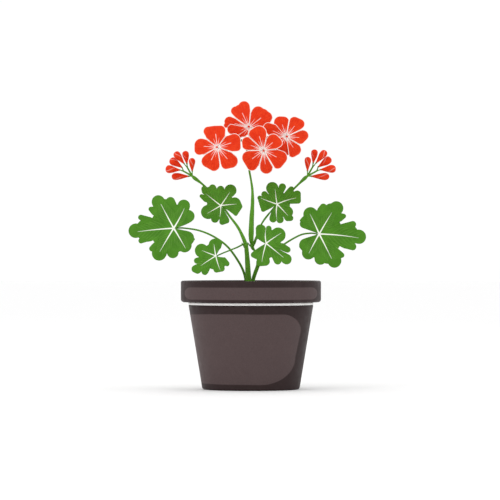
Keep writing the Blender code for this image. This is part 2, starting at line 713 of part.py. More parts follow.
def build_truss(side, stalk, parts):
    """One truss: a stalk that swells under a fork, short arms and six furled buds."""
    mirrored = side == "right"

    def place(x, y, z):
        """A point of the left truss, on this side."""
        if not mirrored:
            return Vector((x, y, z))
        point = TRUSS_FORK + (Vector((x, y, z)) - TRUSS_FORK) * RIGHT_TRUSS_SCALE
        return Vector((2 * MIRROR_PLANE - point.x, point.y, point.z))

    fork = place(*TRUSS_FORK)
    main = as_mesh_object(stem("bud_stalk_" + side, stalk + [(fork, 2.4)], "stem", parts), parts)
    helpers = helper_collection("bud_stalk_" + side)

    def add_arm(name, stations):
        as_mesh_object(stem(name, stations, "stem", helpers, steps=1), helpers)

    for i, arm in enumerate(TRUSS_ARMS, start=1):
        elbow = place(*arm)
        add_arm(f"arm_{side}_{i}", [(fork.lerp(elbow, -0.2), 1.9), (elbow, 1.75)])
    for i, (foot, tip, width, foot_y, tip_y) in enumerate(BUDS, start=1):
        foot_at = place(foot[0], TRUSS_FORK.y + foot_y, foot[1])
        tip_at = place(tip[0], TRUSS_FORK.y + tip_y, tip[1])
        build_bud(f"bud_{side}_{i}", foot_at, tip_at, width, parts)
        elbow = fork if i in (1, 6) else place(*TRUSS_ARMS[(i - 2) // 2])
        end = foot_at - (tip_at - foot_at).normalized() * (GAP + 0.2)
        add_arm(f"twig_{side}_{i}", [(elbow.lerp(end, -0.23), 1.43), (end, 1.2)])
    join(main, helpers)


def main():
    clear_scene()
    parts = bpy.data.collections.new("potted_geranium")
    cutters = bpy.data.collections.new("cutters")
    for collection in (parts, cutters):
        bpy.context.scene.collection.children.link(collection)
    build_pot(parts, cutters)
    build_soil(parts)
    for name, stations in STEMS.items():
        stem(name, stations, "stem", parts, sides=8 if name in ("main_stem", "right_stem") else 6)
    for name, leaf in LEAVES.items():
        build_leaf(name, leaf, parts)
    for name, floret in FLORETS.items():
        build_floret(name, floret, parts)
    for name, spec in BACK_FLORETS.items():
        build_back_floret(name, spec, parts)
    left_stalk = [((-6.9, 0.8, 157.6), 2.0), ((-13.5, 8.0, 172.4), 1.9), ((-22.9, 17.0, 185.6), 1.9),
                  ((-28.8, 26.0, 194.0), 1.8), ((-40.0, 31.5, 208.0), 1.8),
                  ((-51.9, 27.5, 219.4), 2.2), ((-60.2, 22.6, 225.9), 4.0)]
    right_stalk = [((3.0, 11.6, 156.4), 2.0), ((6.8, 13.6, 165.6), 1.9), ((11.6, 18.0, 177.0), 1.9),
                   ((19.0, 25.0, 187.5), 1.8), ((35.0, 33.0, 203.5), 1.8),
                   ((50.2, 28.5, 218.6), 2.2), ((57.9, 22.6, 225.9), 4.0)]
    build_truss("left", left_stalk, parts)
    build_truss("right", right_stalk, parts)


main()
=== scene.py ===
import json
import math
import random

import bmesh
import bpy
import numpy as np
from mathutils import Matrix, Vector, noise
from mathutils.geometry import interpolate_bezier

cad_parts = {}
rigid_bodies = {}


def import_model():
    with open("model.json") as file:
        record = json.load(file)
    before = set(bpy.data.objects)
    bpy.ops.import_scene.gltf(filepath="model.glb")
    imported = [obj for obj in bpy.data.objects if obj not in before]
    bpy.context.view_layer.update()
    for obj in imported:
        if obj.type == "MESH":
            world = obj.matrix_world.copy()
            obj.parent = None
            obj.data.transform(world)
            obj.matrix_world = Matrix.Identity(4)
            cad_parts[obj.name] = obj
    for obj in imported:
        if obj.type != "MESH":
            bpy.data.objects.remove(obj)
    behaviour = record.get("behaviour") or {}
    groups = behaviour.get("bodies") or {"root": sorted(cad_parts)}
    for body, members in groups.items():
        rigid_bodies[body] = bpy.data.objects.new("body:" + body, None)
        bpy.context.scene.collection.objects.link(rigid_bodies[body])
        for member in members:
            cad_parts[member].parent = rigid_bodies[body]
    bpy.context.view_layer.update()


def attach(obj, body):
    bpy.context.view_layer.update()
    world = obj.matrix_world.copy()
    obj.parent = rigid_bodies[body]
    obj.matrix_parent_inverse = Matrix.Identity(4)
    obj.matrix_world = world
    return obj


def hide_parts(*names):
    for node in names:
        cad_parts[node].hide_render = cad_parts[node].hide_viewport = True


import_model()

MM = 0.001

# ---- measurements shared with the CAD, in millimetres
RIM_RADIUS, POT_HEIGHT, RIM_HEIGHT, RIM_WALL, RIM_CORNER = 75.0, 116.0, 23.0, 3.6, 3.2
NECK_HEIGHT, NECK_DEPTH = 3.0, 1.7
BODY_TOP_RADIUS, BASE_RADIUS, BASE_CORNER = 66.8, 52.0, 2.7
BASE_THICKNESS, BODY_WALL = 3.0, 3.0
DRAIN_HOLES, DRAIN_RADIUS, DRAIN_CIRCLE = 6, 5.0, 34.0
CUTTER_DEPTH, TURN_STEPS = 12.0, 180
SOIL_EDGE, SOIL_MOUND, SOIL_RADIUS, CRUMBS = 101.0, 104.0, 72, 620
SINUS_RADIUS, BODY_INSET = 4.4, 0.25

LEAVES = {
    "big_left": {
        "centre": (-82.4, -8, 172), "slope": (-0.3, 0.4), "body": 25.2, "notch": 4,
        "lobes": [[(15.5, 12.8, 6.4)], [(10.6, 23.8, 6.5)], [(-1.2, 25.2, 3.8), (-3.7, 28.4, 4.8)],
            [(-9.8, 26.2, 4.8)], [(-16.8, 28.2, 6.9)], [(-20.5, 18.5, 4.5), (-24.6, 20.4, 2.4)],
            [(-27, 8.4, 3.8), (-35.2, 11.6, 2.8)], [(-27.9, -1.7, 12.4)], [(-40.6, -2.6, 7.6)],
            [(-34.6, -13.2, 2.8), (-26.8, -9.8, 3.8)], [(-23, -21.6, 2.8), (-19.5, -19.5, 4)],
            [(-15.2, -26.4, 7.7)], [(-0.8, -25.4, 6.1)], [(11.6, -17.9, 7.4)], [(14.4, -10.4, 7.1)]],
        "veins": [(10.6, 21.4, -0.9), (-13.5, 25.6, 0.3), (-38.2, -4, -0.6), (-14.3, -24.8, -0.3),
            (12.5, -21.2, 0.2)],
    },
    "big_right": {
        "centre": (73.1, 6, 165.9), "slope": (0.3, 0.42), "body": 25.2, "notch": 179,
        "lobes": [[(-14.9, -11.4, 6.3)], [(-11.5, -19.9, 6.9)], [(1.2, -26, 6.4)],
            [(8.4, -26, 5.4)], [(16, -28.3, 7.3)], [(20.5, -22, 4.2), (24.2, -22.6, 2.4)],
            [(27.4, -10.6, 4.6), (35.6, -13.4, 3.9)], [(29.5, -1.1, 12.6)], [(42.6, -2.9, 7.5)],
            [(36.2, 10.4, 3.4), (27.5, 7, 4.4)], [(26.4, 19.2, 2.4), (22, 18, 4.4)],
            [(18.6, 27.6, 7.4)], [(12.4, 26.6, 6)], [(4.6, 28.6, 3.8), (1.8, 25.4, 3.5)],
            [(-9.2, 21, 7.5)], [(-15.4, 10.9, 5)]],
        "veins": [(-11.1, -20.8, -0.3), (12.8, -26.2, 0.2), (41.6, -4.8, 1.2), (13.8, 22.4, 0.3),
            (-9.8, 21, -0.3)],
    },
    "upper_left": {
        "centre": (-32.3, 12, 196.4), "slope": (-0.25, 0.45), "body": 14.6, "notch": -48,
        "lobes": [[(15.8, -8.8, 2), (20.2, -0.9, 2.6), (14.8, 2.4, 6.2)], [(10.2, 16.2, 6.3)],
            [(-0.3, 17, 4)], [(-8.8, 18.8, 3.8)], [(-12.7, 17, 3)],
            [(-18, 18.2, 2.7), (-17.6, 15.4, 2.8)], [(-20.6, 10.2, 2), (-15.5, 7.5, 3.6)],
            [(-13.5, -6.7, 7.4)], [(-6.2, -14, 4)], [(1.6, -17.2, 3.1), (6.4, -16, 2.6)]],
        "veins": [(17, 1.2, 0.4), (9.4, 14.6, -0.3), (-16.1, 13.4, 0.4), (-14.7, -8.3, 0.2),
            (-1.4, -12.4, 0.6)],
    },
    "lower_left": {
        "centre": (-37.2, -42, 142.5), "slope": (-0.2, 0.55), "body": 14, "notch": 24,
        "lobes": [[(3.4, 13.6, 3.2), (-0.8, 11.4, 6.6)], [(-14.9, 5.6, 7)],
            [(-15, -4.6, 4), (-19.8, -5, 3)], [(-21.6, -13.6, 3.7), (-19, -14.9, 3.6)],
            [(-11.3, -16.2, 3.5)], [(0.9, -13.8, 3.3), (6.2, -12.9, 3.1)],
            [(11.6, -8, 2.6), (8.2, -4.4, 3)]],
        "veins": [(-1.8, 12.6, 0.3), (-14.7, 6, 0.3), (-15.7, -10.6, -0.3), (5, -15, -0.5)],
    },
    "upper_right": {
        "centre": (28, 16, 198), "slope": (0.25, 0.45), "body": 13.6, "notch": -135,
        "lobes": [[(-4.1, -15.4, 3.9)], [(3.2, -16.3, 3.8)],
            [(11.2, -14.7, 3.2), (14.2, -14.8, 3)], [(10.6, -8.3, 6.3)],
            [(22.6, 3.6, 2.8), (21.8, 11, 3.6), (15, 7, 5)],
            [(13.6, 10, 4), (15.4, 16.4, 2.6)], [(5.8, 18.4, 3.7)], [(-5, 17.2, 6.4)],
            [(-13.2, 10.4, 3.3)], [(-18.2, 6.6, 2.5), (-14.6, -5.6, 2.4)]],
        "veins": [(0.2, -18.2, -1), (11.6, -12.8, 0.3), (20.6, 6, 1.1), (-1.8, 16.4, 0.3),
            (-17.6, 6.8, 0.4)],
    },
    "lower_right": {
        "centre": (16, -38, 155.8), "slope": (0.15, 0.5), "body": 15.2, "notch": 179,
        "lobes": [[(-13, -11.9, 2.8), (-9.2, -12.6, 3.8)],
            [(-6.8, -20.2, 3.5), (-0.6, -18.8, 4.4)], [(12.2, -18, 3.9)], [(21.4, -16.6, 5.3)],
            [(22.6, -6.6, 3), (17, -3.6, 3.6)], [(12.7, 8.8, 7.7)], [(2.9, 15.5, 2.9)],
            [(-4.8, 15, 4.4), (-6.2, 15.2, 4.5), (-7.6, 8.6, 2.8)]],
        "veins": [(-4.1, -19.6, -0.6), (18.2, -15, 0.2), (16, 10.6, 0.4), (0.2, 17.4, 1)],
    },
}

# Stations along each stem: x, y, z and the width there.
STEMS = {
    "main_stem": [(0, 0, 84, 10.4), (0, 0, 96, 13.2), (0, 0, 105, 12.4), (-1.6, -0.8, 110, 8.4),
        (-2.6, -1.5, 117, 6.5), (-3.4, -2, 133, 5.5), (-4.4, -3, 146, 4.7),
        (-6, -3.4, 156, 4.2), (-13.2, 0.5, 172, 3), (-22.8, 7, 185, 2.3),
        (-28, 11.5, 192, 1.8), (-31, 14.6, 196.2, 1.4)],
    "right_stem": [(3.2, 3.4, 104.5, 4.4), (4.6, 5, 109.5, 4.1), (2.5, 4.6, 116, 3.9),
        (4.2, 4.2, 123, 4.1), (8.2, 4, 135, 4.2), (6.8, 5, 143, 3.4), (2.8, 6, 150, 2.4),
        (1.1, 6.2, 154, 3), (0.3, 6, 161, 5.2), (0.3, 6, 168, 5.7), (0.8, 5.5, 183, 5),
        (1.7, 5, 199, 3.8), (1.5, 4.5, 213, 2.7), (0, 4.5, 224, 2.2), (-1.6, 6, 233, 2.2),
        (-1.8, 8, 239, 3.4)],
    "petiole_big_left": [(-3.4, 2.4, 106, 3), (-5.7, 4.2, 111, 2.7), (-6, 3, 118, 2.7),
        (-8.5, 1.2, 127, 2.6), (-14, 0, 137.5, 2.4), (-24.7, -2, 152, 2.2),
        (-38.3, -3.5, 162.3, 2), (-54.5, -4.5, 169.4, 1.9), (-71.3, -4, 172.2, 1.7),
        (-80.2, -5.6, 172.1, 1.4)],
    "petiole_big_right": [(9, 4.2, 134.8, 2.6), (18, 6, 140, 2.3), (28, 8, 148.2, 2.1),
        (37, 9, 156, 2), (52.8, 9.5, 164.8, 1.9), (64, 9, 166.8, 1.7),
        (70.8, 8.4, 166, 1.4)],
    "petiole_lower_left": [(-6.6, -3.6, 155.4, 1.9), (-9, -5, 154.6, 1.8),
        (-14.3, -9, 151.8, 1.7), (-21.4, -17, 148.9, 1.6), (-29.5, -29, 145.6, 1.5),
        (-35.8, -39.2, 142.8, 1.4)],
    "petiole_upper_right": [(2, 6.8, 153.8, 2.1), (4.2, 8, 156.4, 2), (6.6, 9, 164.3, 2),
        (11.2, 12, 176.4, 1.9), (18.5, 15, 186.5, 1.7), (26.8, 18.4, 197.2, 1.4)],
    "petiole_lower_right": [(1.4, 5.2, 153, 2), (2.9, 3.5, 154.6, 1.9), (5.4, -3, 160.2, 1.8),
        (8.6, -14, 161.2, 1.7), (12.2, -26, 158.8, 1.6), (14.9, -35.2, 156.4, 1.4)],
}

PETAL_THICKNESS, LEAF_THICKNESS, THROAT_DEPTH = 0.35, 0.5, 2.4
PETAL_FOOT, PETAL_GROWTH, BACK_PETAL_GROWTH, LEAF_GROWTH = 1.5, 0.75, 0.3, 0.4
THROAT_RADIUS, STAMENS, BRACTS = 5.2, 7, 7
PETAL_CURL, PETAL_TWIST, CLAW_TAPER = 0.006, 0.08, 0.5
MAX_SPREAD, PETAL_GAP = 0.34, 0.012
FLORETS = {
    "left": {
        "centre": (-35.7, -14, 258.3), "slope": (-0.28, 0.05), "bow": (9, 8, 17),
        "petals": [[(-9.8, 17.2, 4.8), (-3.3, 17.2, 5.6), (3.3, 18, 4.9)],
            [(17.8, 7.6, 6.4), (20.7, -0.3, 3.7)], [(14.3, -14.7, 7), (9, -18.2, 4.7)],
            [(-10.6, -14.7, 6.1), (-3.7, -19.2, 5.6)], [(-17.6, 2.5, 6.7), (-19.2, -2.5, 5.1)]],
    },
    "middle": {
        "centre": (13.3, -24, 254.8), "slope": (0.08, -0.16), "bow": (0, 0, -2),
        "petals": [[(-4.7, 18.2, 7.4), (-10.1, 17.4, 5.1)], [(-17.4, 8.8, 5.1), (-18.3, 5.1, 3.8)],
            [(-15.8, -7.6, 6.5), (-12.1, -15.4, 5.6)], [(3, -17.9, 6.4)],
            [(18.2, -7.6, 6.7), (14.9, -13.8, 5.3)], [(10.4, 10.8, 6.2), (14.9, 8.2, 4.7)]],
    },
    "top": {
        "centre": (-2.2, 2, 279.9), "slope": (-0.04, 0.34), "bow": (1, 0, 0),
        "petals": [[(-5.2, 22.5, 5.9), (-9.3, 18.4, 6.4), (-14.2, 18, 4.7)],
            [(-20.8, 6.6, 5), (-23.6, 2.4, 2.9)],
            [(-17.4, -1.8, 5.2), (-11.5, -5, 6), (-6.2, -5.6, 4)], [(8, -13.5, 5.2)],
            [(18.6, 11.1, 6.1), (14.8, 13.8, 6.4), (10, 16.4, 6.4)]],
    },
    "right": {
        "centre": (37.6, -7, 269.8), "slope": (0.3, 0.08), "bow": (0, 2, -1),
        "petals": [[(-6.6, 15.4, 6.1), (-2.5, 16.2, 5.1)], [(-19.2, 9.7, 4.7), (-13, 7.6, 5)],
            [(-9.5, -7.5, 4.2), (-2.9, -13, 3.4), (0.4, -16.4, 2.8)],
            [(6.7, -17.4, 4.2), (9.8, -13.7, 5.8)], [(15.1, -2.9, 4.5), (18.4, 1.5, 5.2)],
            [(14.3, 13.8, 5.1), (9, 15.8, 5.4)]],
    },
}
NOTCHED = ("top",)
HUB = Vector((-1.8, 9, 240.5))
PEDICEL_WIDTH, CALYX_WIDTH, CALYX_LENGTH = 1.7, 4, 5.0
BACK_FLORETS = {
    "back_floret_left": {"centre": (-34, 25, 259), "turn": 28, "bow": (7, 3, 17)},
    "back_floret_right": {"centre": (26.5, 27, 263), "turn": -24, "bow": (0, 0, -2)},
}
BACK_PETALS, BACK_PETAL_REACH, BACK_PETAL_ROUND = 5, 10.6, 5.7

BUDS = [
    ((-63.1, 232.8), (-63.4, 247.6), 6.5, -2.5, -6),
    ((-68.8, 240.8), (-70.8, 255.4), 6.8, 1, 5),
    ((-71.4, 241), (-81.8, 254), 7.2, -3, -4.5),
    ((-73.6, 237.3), (-87, 246.6), 8, 2, 4.5),
    ((-75.8, 234.8), (-91.8, 235.9), 8, -1.5, -4),
    ((-66, 228.2), (-85.4, 228), 7.2, 2.5, 6),
]
TRUSS_FORK = Vector((-63.2, 22, 228.4))
TRUSS_ARMS = (Vector((-68.2, 22.9, 237.2)), Vector((-72.6, 21.3, 233.6)))
MIRROR_PLANE, RIGHT_TRUSS_SCALE = -1.15, 1.06
BUD_STALKS = {
    "left": [(-6.2, -1.6, 156.2, 2.1), (-6.9, 0.8, 157.6, 2), (-13.5, 8, 172.4, 1.9),
        (-22.9, 17, 185.6, 1.9), (-28.8, 26, 194, 1.8), (-40, 31.5, 208, 1.8),
        (-51.9, 27.5, 219.4, 2.2), (-60.2, 22.6, 225.9, 4)],
    "right": [(1, 7.4, 154, 2.1), (3, 11.6, 156.4, 2), (6.8, 13.6, 165.6, 1.9),
        (11.6, 18, 177, 1.9), (19, 25, 187.5, 1.8), (35, 33, 203.5, 1.8),
        (50.2, 28.5, 218.6, 2.2), (57.9, 22.6, 225.9, 4)],
}

# ---- meshes


def added(name, data):
    """A new object in the scene."""
    obj = bpy.data.objects.new(name, data)
    bpy.context.scene.collection.objects.link(obj)
    return obj


def mesh_of(name, bm):
    """A new mesh of a bmesh, which is freed."""
    mesh = bpy.data.meshes.new(name)
    bm.to_mesh(mesh)
    bm.free()
    return mesh


def piece(name, mesh, slot, nodes=(), looks=()):
    """A new object for a mesh, riding on the frame in place of the CAD nodes. Its materials are the
    looks, or else the one named like its slot."""
    obj = added(name, mesh)
    for look in looks or (slot,):
        mesh.materials.append(MATERIALS[look])
    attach(obj, "root")
    if nodes:
        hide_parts(*nodes)
    return obj


def lattice(name, points, attributes=None, wrap=False, caps=False):
    """A smooth mesh over an (n, m, 3) array of points in millimetres. wrap joins the last row to the
    first, caps closes both ends of a wrapped one, and attributes are (n, m) arrays of numbers."""
    n, m = points.shape[:2]
    index = np.arange(n * m).reshape(n, m)
    rows = np.vstack([index, index[:1]]) if wrap else index
    faces = np.stack([rows[:-1, :-1], rows[1:, :-1], rows[1:, 1:], rows[:-1, 1:]], -1)
    polygons = faces.reshape(-1, 4).tolist()
    if caps:
        polygons.append(index[:, 0].tolist())
        polygons.append(index[::-1, -1].tolist())
    mesh = bpy.data.meshes.new(name)
    mesh.from_pydata((points.reshape(-1, 3) * MM).tolist(), [], polygons)
    if wrap:
        outward(mesh)
    for key, values in (attributes or {}).items():
        layer = mesh.attributes.new(key, "FLOAT", "POINT")
        layer.data.foreach_set("value", np.ascontiguousarray(values, np.float32).ravel())
    mesh.shade_smooth()
    return mesh


def outward(mesh):
    """Turns a closed mesh's faces outwards."""
    bm = bmesh.new()
    bm.from_mesh(mesh)
    bmesh.ops.recalc_face_normals(bm, faces=bm.faces)
    bm.to_mesh(mesh)
    bm.free()


def weld(mesh, distance=0.004):
    """Merges the points that fall together, and drops faces left with no area."""
    bm = bmesh.new()
    bm.from_mesh(mesh)
    bmesh.ops.remove_doubles(bm, verts=bm.verts, dist=distance * MM)
    bmesh.ops.dissolve_degenerate(bm, edges=bm.edges, dist=distance * MM / 4)
    bm.to_mesh(mesh)
    bm.free()
    return mesh


def joined(name, meshes):
    """One mesh of several."""
    bm = bmesh.new()
    for mesh in meshes:
        bm.from_mesh(mesh)
        bpy.data.meshes.remove(mesh)
    out = mesh_of(name, bm)
    out.shade_smooth()
    return out


def thicken(obj, thickness, back_slot=0):
    """Gives a sheet its thickness. back_slot is its back's place among the materials."""
    solid = obj.modifiers.new("thickness", "SOLIDIFY")
    solid.thickness = thickness * MM
    solid.offset = 0
    solid.material_offset = back_slot
    solid.use_quality_normals = True


# ---- materials


def linear(code):
    """A linear colour from a hex one."""
    parts = [int(code[i:i + 2], 16) / 255 for i in (1, 3, 5)]
    return (*[p / 12.92 if p <= 0.04045 else ((p + 0.055) / 1.055) ** 2.4 for p in parts], 1)


class Paint:
    """A Principled material, and short ways to add its nodes."""

    def __init__(self, name, roughness=0.5, specular=0.5):
        self.material = bpy.data.materials.new(name)
        self.material.use_nodes = True
        self.tree = self.material.node_tree
        self.shader = self.tree.nodes["Principled BSDF"]
        self.shader.inputs["Roughness"].default_value = roughness
        self.shader.inputs["Specular IOR Level"].default_value = specular

    def node(self, kind, inputs=(), **settings):
        made = self.tree.nodes.new(kind)
        for key, value in settings.items():
            setattr(made, key, value)
        for key, value in dict(inputs).items():
            self.set(made.inputs[key], value)
        return made

    def set(self, socket, value):
        if isinstance(value, bpy.types.NodeSocket):
            self.tree.links.new(value, socket)
        else:
            socket.default_value = value

    def place(self):
        """Coordinates in the row frame, in metres."""
        return self.node("ShaderNodeTexCoord").outputs["Object"]

    def value(self, name):
        """A number that the mesh carries under this name."""
        return self.node("ShaderNodeAttribute", attribute_name=name).outputs["Fac"]

    def noise(self, scale, detail=3.0, roughness=0.55):
        names = {"Scale": scale, "Detail": detail, "Roughness": roughness, "Vector": self.place()}
        return self.node("ShaderNodeTexNoise", names).outputs["Fac"]

    def math(self, operation, a, b=0.0, clamp=False):
        made = self.node("ShaderNodeMath", {0: a, 1: b}, operation=operation, use_clamp=clamp)
        return made.outputs[0]

    def remap(self, value, low, high, out_low=0.0, out_high=1.0, smooth=False):
        kind = "SMOOTHSTEP" if smooth else "LINEAR"
        made = self.node("ShaderNodeMapRange", {"Value": value}, interpolation_type=kind)
        ends = {"From Min": low, "From Max": high, "To Min": out_low, "To Max": out_high}
        for key, end in ends.items():
            self.set(made.inputs[key], end)
        return made.outputs["Result"]

    def mix(self, factor, a, b):
        made = self.node("ShaderNodeMix", data_type="RGBA")
        self.set(made.inputs[0], factor)
        self.set(made.inputs[6], a)
        self.set(made.inputs[7], b)
        return made.outputs[2]

    def blend(self, value, low, high, a, b):
        """From the hex colour a where the value is low to b where it is high."""
        return self.mix(self.remap(value, low, high), linear(a), linear(b))

    def over(self, base, value, share, code):
        """A share of the hex colour over a base, where the value is high."""
        return self.mix(self.math("MULTIPLY", value, share), base, linear(code))

    def colour(self, value):
        self.set(self.shader.inputs["Base Color"], value)

    def rough(self, scale, detail, low, high):
        """Roughness that varies between low and high."""
        value = self.remap(self.noise(scale, detail), 0.3, 0.7, low, high)
        self.set(self.shader.inputs["Roughness"], value)

    def bump(self, height, distance, strength):
        names = {"Height": height, "Distance": distance, "Strength": strength}
        self.set(self.shader.inputs["Normal"], self.node("ShaderNodeBump", names).outputs["Normal"])


def petal_material():
    p = Paint("petal_scarlet", roughness=0.6, specular=0.12)
    fan = p.value("fan")
    red = p.blend(p.noise(260, 3), 0.35, 0.7, "#df3008", "#ea3f14")
    red = p.over(red, fan, 0.35, "#c62508")
    red = p.over(red, p.value("rim"), 0.25, "#f05a30")
    p.colour(p.mix(p.value("white"), red, linear("#fdf3ee")))
    p.rough(900, 2, 0.48, 0.62)
    p.bump(p.math("ADD", p.math("MULTIPLY", fan, 0.6), p.noise(1500, 2)), 0.00012, 0.35)
    return p.material


def leaf_material():
    p = Paint("leaf_green", roughness=0.55, specular=0.12)
    green = p.blend(p.noise(70, 4), 0.3, 0.7, "#417a17", "#4e8820")
    green = p.over(green, p.value("zone"), 0.35, "#386b14")
    green = p.over(green, p.value("fine"), 0.30, "#74a548")
    cells = {"Scale": 900.0, "Vector": p.place()}
    cells = p.node("ShaderNodeTexVoronoi", cells, feature="DISTANCE_TO_EDGE").outputs["Distance"]
    net = p.remap(cells, 0.0, 0.12, 1.0, 0.0)
    green = p.over(green, net, 0.10, "#6b9d40")
    green = p.over(green, p.value("edge"), 0.35, "#64952f")
    p.colour(p.mix(p.value("vein"), green, linear("#f8faf0")))
    p.rough(400, 2, 0.42, 0.58)
    p.bump(p.math("ADD", p.math("MULTIPLY", net, -0.5), p.noise(700, 3)), 0.00015, 0.4)
    return p.material


def leaf_back_material():
    p = Paint("leaf_underside", roughness=0.7, specular=0.12)
    green = p.blend(p.noise(90, 4), 0.3, 0.7, "#6f9a4a", "#7da658")
    green = p.over(green, p.value("fine"), 0.55, "#a9c487")
    p.colour(p.mix(p.value("vein"), green, linear("#dfe6c8")))
    p.bump(p.noise(900, 3), 0.0002, 0.5)
    return p.material


def stem_material():
    p = Paint("stem_green", roughness=0.55, specular=0.12)
    green = p.blend(p.noise(120, 4), 0.3, 0.7, "#4f8d1d", "#5b9826")
    green = p.over(green, p.value("streak"), 0.3, "#6b9e3c")
    p.colour(p.mix(p.value("wood"), green, linear("#8a6f4c")))
    p.rough(500, 2, 0.42, 0.6)
    p.bump(p.noise(1200, 3), 0.00005, 0.3)
    return p.material


def pot_material():
    """Dark brown plastic with a painted highlight band round the rim, and a body painted lighter as if
    lit from the left up to a curved edge near its right side, leaving painted shade under the rim,
    along the bottom and on the right. The lengths are in metres."""
    band_half, band_z, band_radius, band_soft = 0.0641, 0.10275, 0.0060, 0.0009
    body_low, body_high, edge_soft = 0.0064, 0.0806, 0.0008
    curve_low, curve_middle, curve_high = 0.0062, 0.035, 0.0633
    curve_top, low_swell, high_swell = 0.0808, 0.037, 0.0202

    p = Paint("pot_brown", roughness=0.45, specular=0.08)
    at = p.node("ShaderNodeSeparateXYZ", {"Vector": p.place()})
    x, z = at.outputs[0], at.outputs[2]
    wobble = p.math("MULTIPLY", p.math("SUBTRACT", p.noise(14, 1), 0.5), 0.002)
    height = p.math("ADD", z, wobble)

    def between(low, high, soft=0.0006):
        up = p.remap(height, low - soft, low + soft, smooth=True)
        down = p.remap(height, high - soft, high + soft, 1.0, 0.0, smooth=True)
        return p.math("MULTIPLY", up, down)

    def quarter_round(value):
        return p.math("SQRT", p.math("SUBTRACT", 1.0, p.math("MULTIPLY", value, value), clamp=True))

    # Painted highlight: a lighter band round the middle of the rim, with rounded ends near its sides.
    past = p.math("MAXIMUM", p.math("SUBTRACT", p.math("ABSOLUTE", x), band_half), 0.0)
    apart = p.math("SUBTRACT", z, band_z)
    from_band = p.math("ADD", p.math("MULTIPLY", past, past), p.math("MULTIPLY", apart, apart))
    from_band = p.math("SQRT", from_band)
    rim_highlight = p.remap(from_band, band_radius, band_radius + band_soft, 1.0, 0.0, smooth=True)
    # Painted light and shade on the body: lighter on the left up to a curved edge, dark on the right,
    # under the rim and along the bottom.
    lower = quarter_round(p.remap(height, curve_middle, curve_low))
    upper = quarter_round(p.remap(height, curve_high, curve_top))
    edge = p.remap(height, curve_middle, curve_high, 0.010, 0.016)
    edge = p.math("ADD", edge, p.math("MULTIPLY", lower, low_swell))
    drawn_in = p.math("SUBTRACT", high_swell, p.math("MULTIPLY", upper, high_swell))
    edge = p.math("SUBTRACT", edge, drawn_in)
    lit = p.remap(p.math("SUBTRACT", edge, x), -edge_soft, edge_soft, smooth=True)
    mask = p.math("MAXIMUM", rim_highlight, p.math("MULTIPLY", between(body_low, body_high), lit))
    speckle = p.noise(900, 4, 0.7)
    # The shaded and lit copies of the one brown, mixed by the painted light and shade above.
    shaded_brown = p.blend(speckle, 0.35, 0.65, "#312626", "#382c2c")
    lit_brown = p.blend(speckle, 0.35, 0.65, "#4f4242", "#574949")
    worn = p.remap(p.noise(45, 5), 0.55, 0.75)
    p.colour(p.over(p.mix(mask, shaded_brown, lit_brown), worn, 0.18, "#5f504f"))
    p.rough(120, 4, 0.4, 0.56)
    p.bump(p.noise(1600, 3), 0.00008, 0.35)
    return p.material


def simple_material(name, low, high, roughness, scale=300):
    p = Paint(name, roughness=roughness)
    p.colour(p.blend(p.noise(scale, 4), 0.35, 0.65, low, high))
    p.bump(p.noise(scale * 3, 3), 0.0002, 0.5)
    return p.material


def soil_material():
    p = Paint("potting_mix", roughness=0.95)
    tint = p.value("tint")
    base = p.mix(p.noise(160, 5, 0.7), linear("#2a1c12"), linear("#4b3524"))
    base = p.mix(p.remap(tint, 0.2, 0.9), base, linear("#6a4a30"))
    p.colour(p.mix(p.remap(tint, 0.955, 0.96), base, linear("#e4e0d6")))
    p.bump(p.noise(900, 5, 0.7), 0.0008, 0.8)
    return p.material


MATERIALS = {
    "petal": petal_material(),
    "leaf": leaf_material(),
    "leaf_back": leaf_back_material(),
    "stem": stem_material(),
    "pot": pot_material(),
    "soil": soil_material(),
    "trim": simple_material("ring_offwhite", "#f6f5f2", "#fdfcfa", 0.45),
    "anther": simple_material("anther_red", "#e23a12", "#ec4a20", 0.7, 900),
    "stigma": simple_material("stigma_red", "#e02410", "#ee3a1c", 0.5, 900),
    "filament": simple_material("filament_white", "#f6e2da", "#fdf2ee", 0.5, 900),
}

# ---- the pot and the potting mix


def rounded(corners, segments=10):
    """A profile's (radius, z) points, with each corner (radius, z, fillet) rounded by an arc."""
    points = []
    count = len(corners)
    for i, (r, z, fillet) in enumerate(corners):
        here = Vector((r, z))
        if fillet == 0:
            points.append(here)
            continue
        before = Vector(corners[i - 1][:2]) - here
        after = Vector(corners[(i + 1) % count][:2]) - here
        half = before.angle(after) / 2
        start = here + before.normalized() * (fillet / math.tan(half))
        end = here + after.normalized() * (fillet / math.tan(half))
        middle = (before.normalized() + after.normalized()).normalized()
        centre = here + middle * (fillet / math.sin(half))
        for k in range(segments + 1):
            spoke = (start - centre).lerp(end - centre, k / segments).normalized()
            points.append(centre + spoke * fillet)
    return points


def split_long(profile, longest=6):
    """The profile with points added so that no step is longer than that."""
    out = [profile[0]]
    for a, b in zip(profile, profile[1:]):
        steps = max(1, math.ceil((b - a).length / longest))
        out += [a.lerp(b, k / steps) for k in range(1, steps + 1)]
    return out


def turned(name, profile, closed=False):
    """An object for a profile turned about Z, by a Screw modifier that is not applied yet."""
    mesh = bpy.data.meshes.new(name)
    edges = [(i, i + 1) for i in range(len(profile) - 1)]
    if closed:
        edges.append((len(profile) - 1, 0))
    mesh.from_pydata([(p[0] * MM, 0, p[1] * MM) for p in profile], edges, [])
    obj = added(name, mesh)
    screw = obj.modifiers.new("turn", "SCREW")
    screw.steps = screw.render_steps = TURN_STEPS
    screw.use_merge_vertices = True
    screw.merge_threshold = 1e-6
    screw.use_normal_calculate = True
    return obj


def applied(obj, name):
    """The object's evaluated mesh, with the object itself removed."""
    graph = bpy.context.evaluated_depsgraph_get()
    mesh = bpy.data.meshes.new_from_object(obj.evaluated_get(graph))
    mesh.name = name
    bpy.data.objects.remove(obj)
    outward(mesh)
    mesh.shade_smooth()
    return mesh


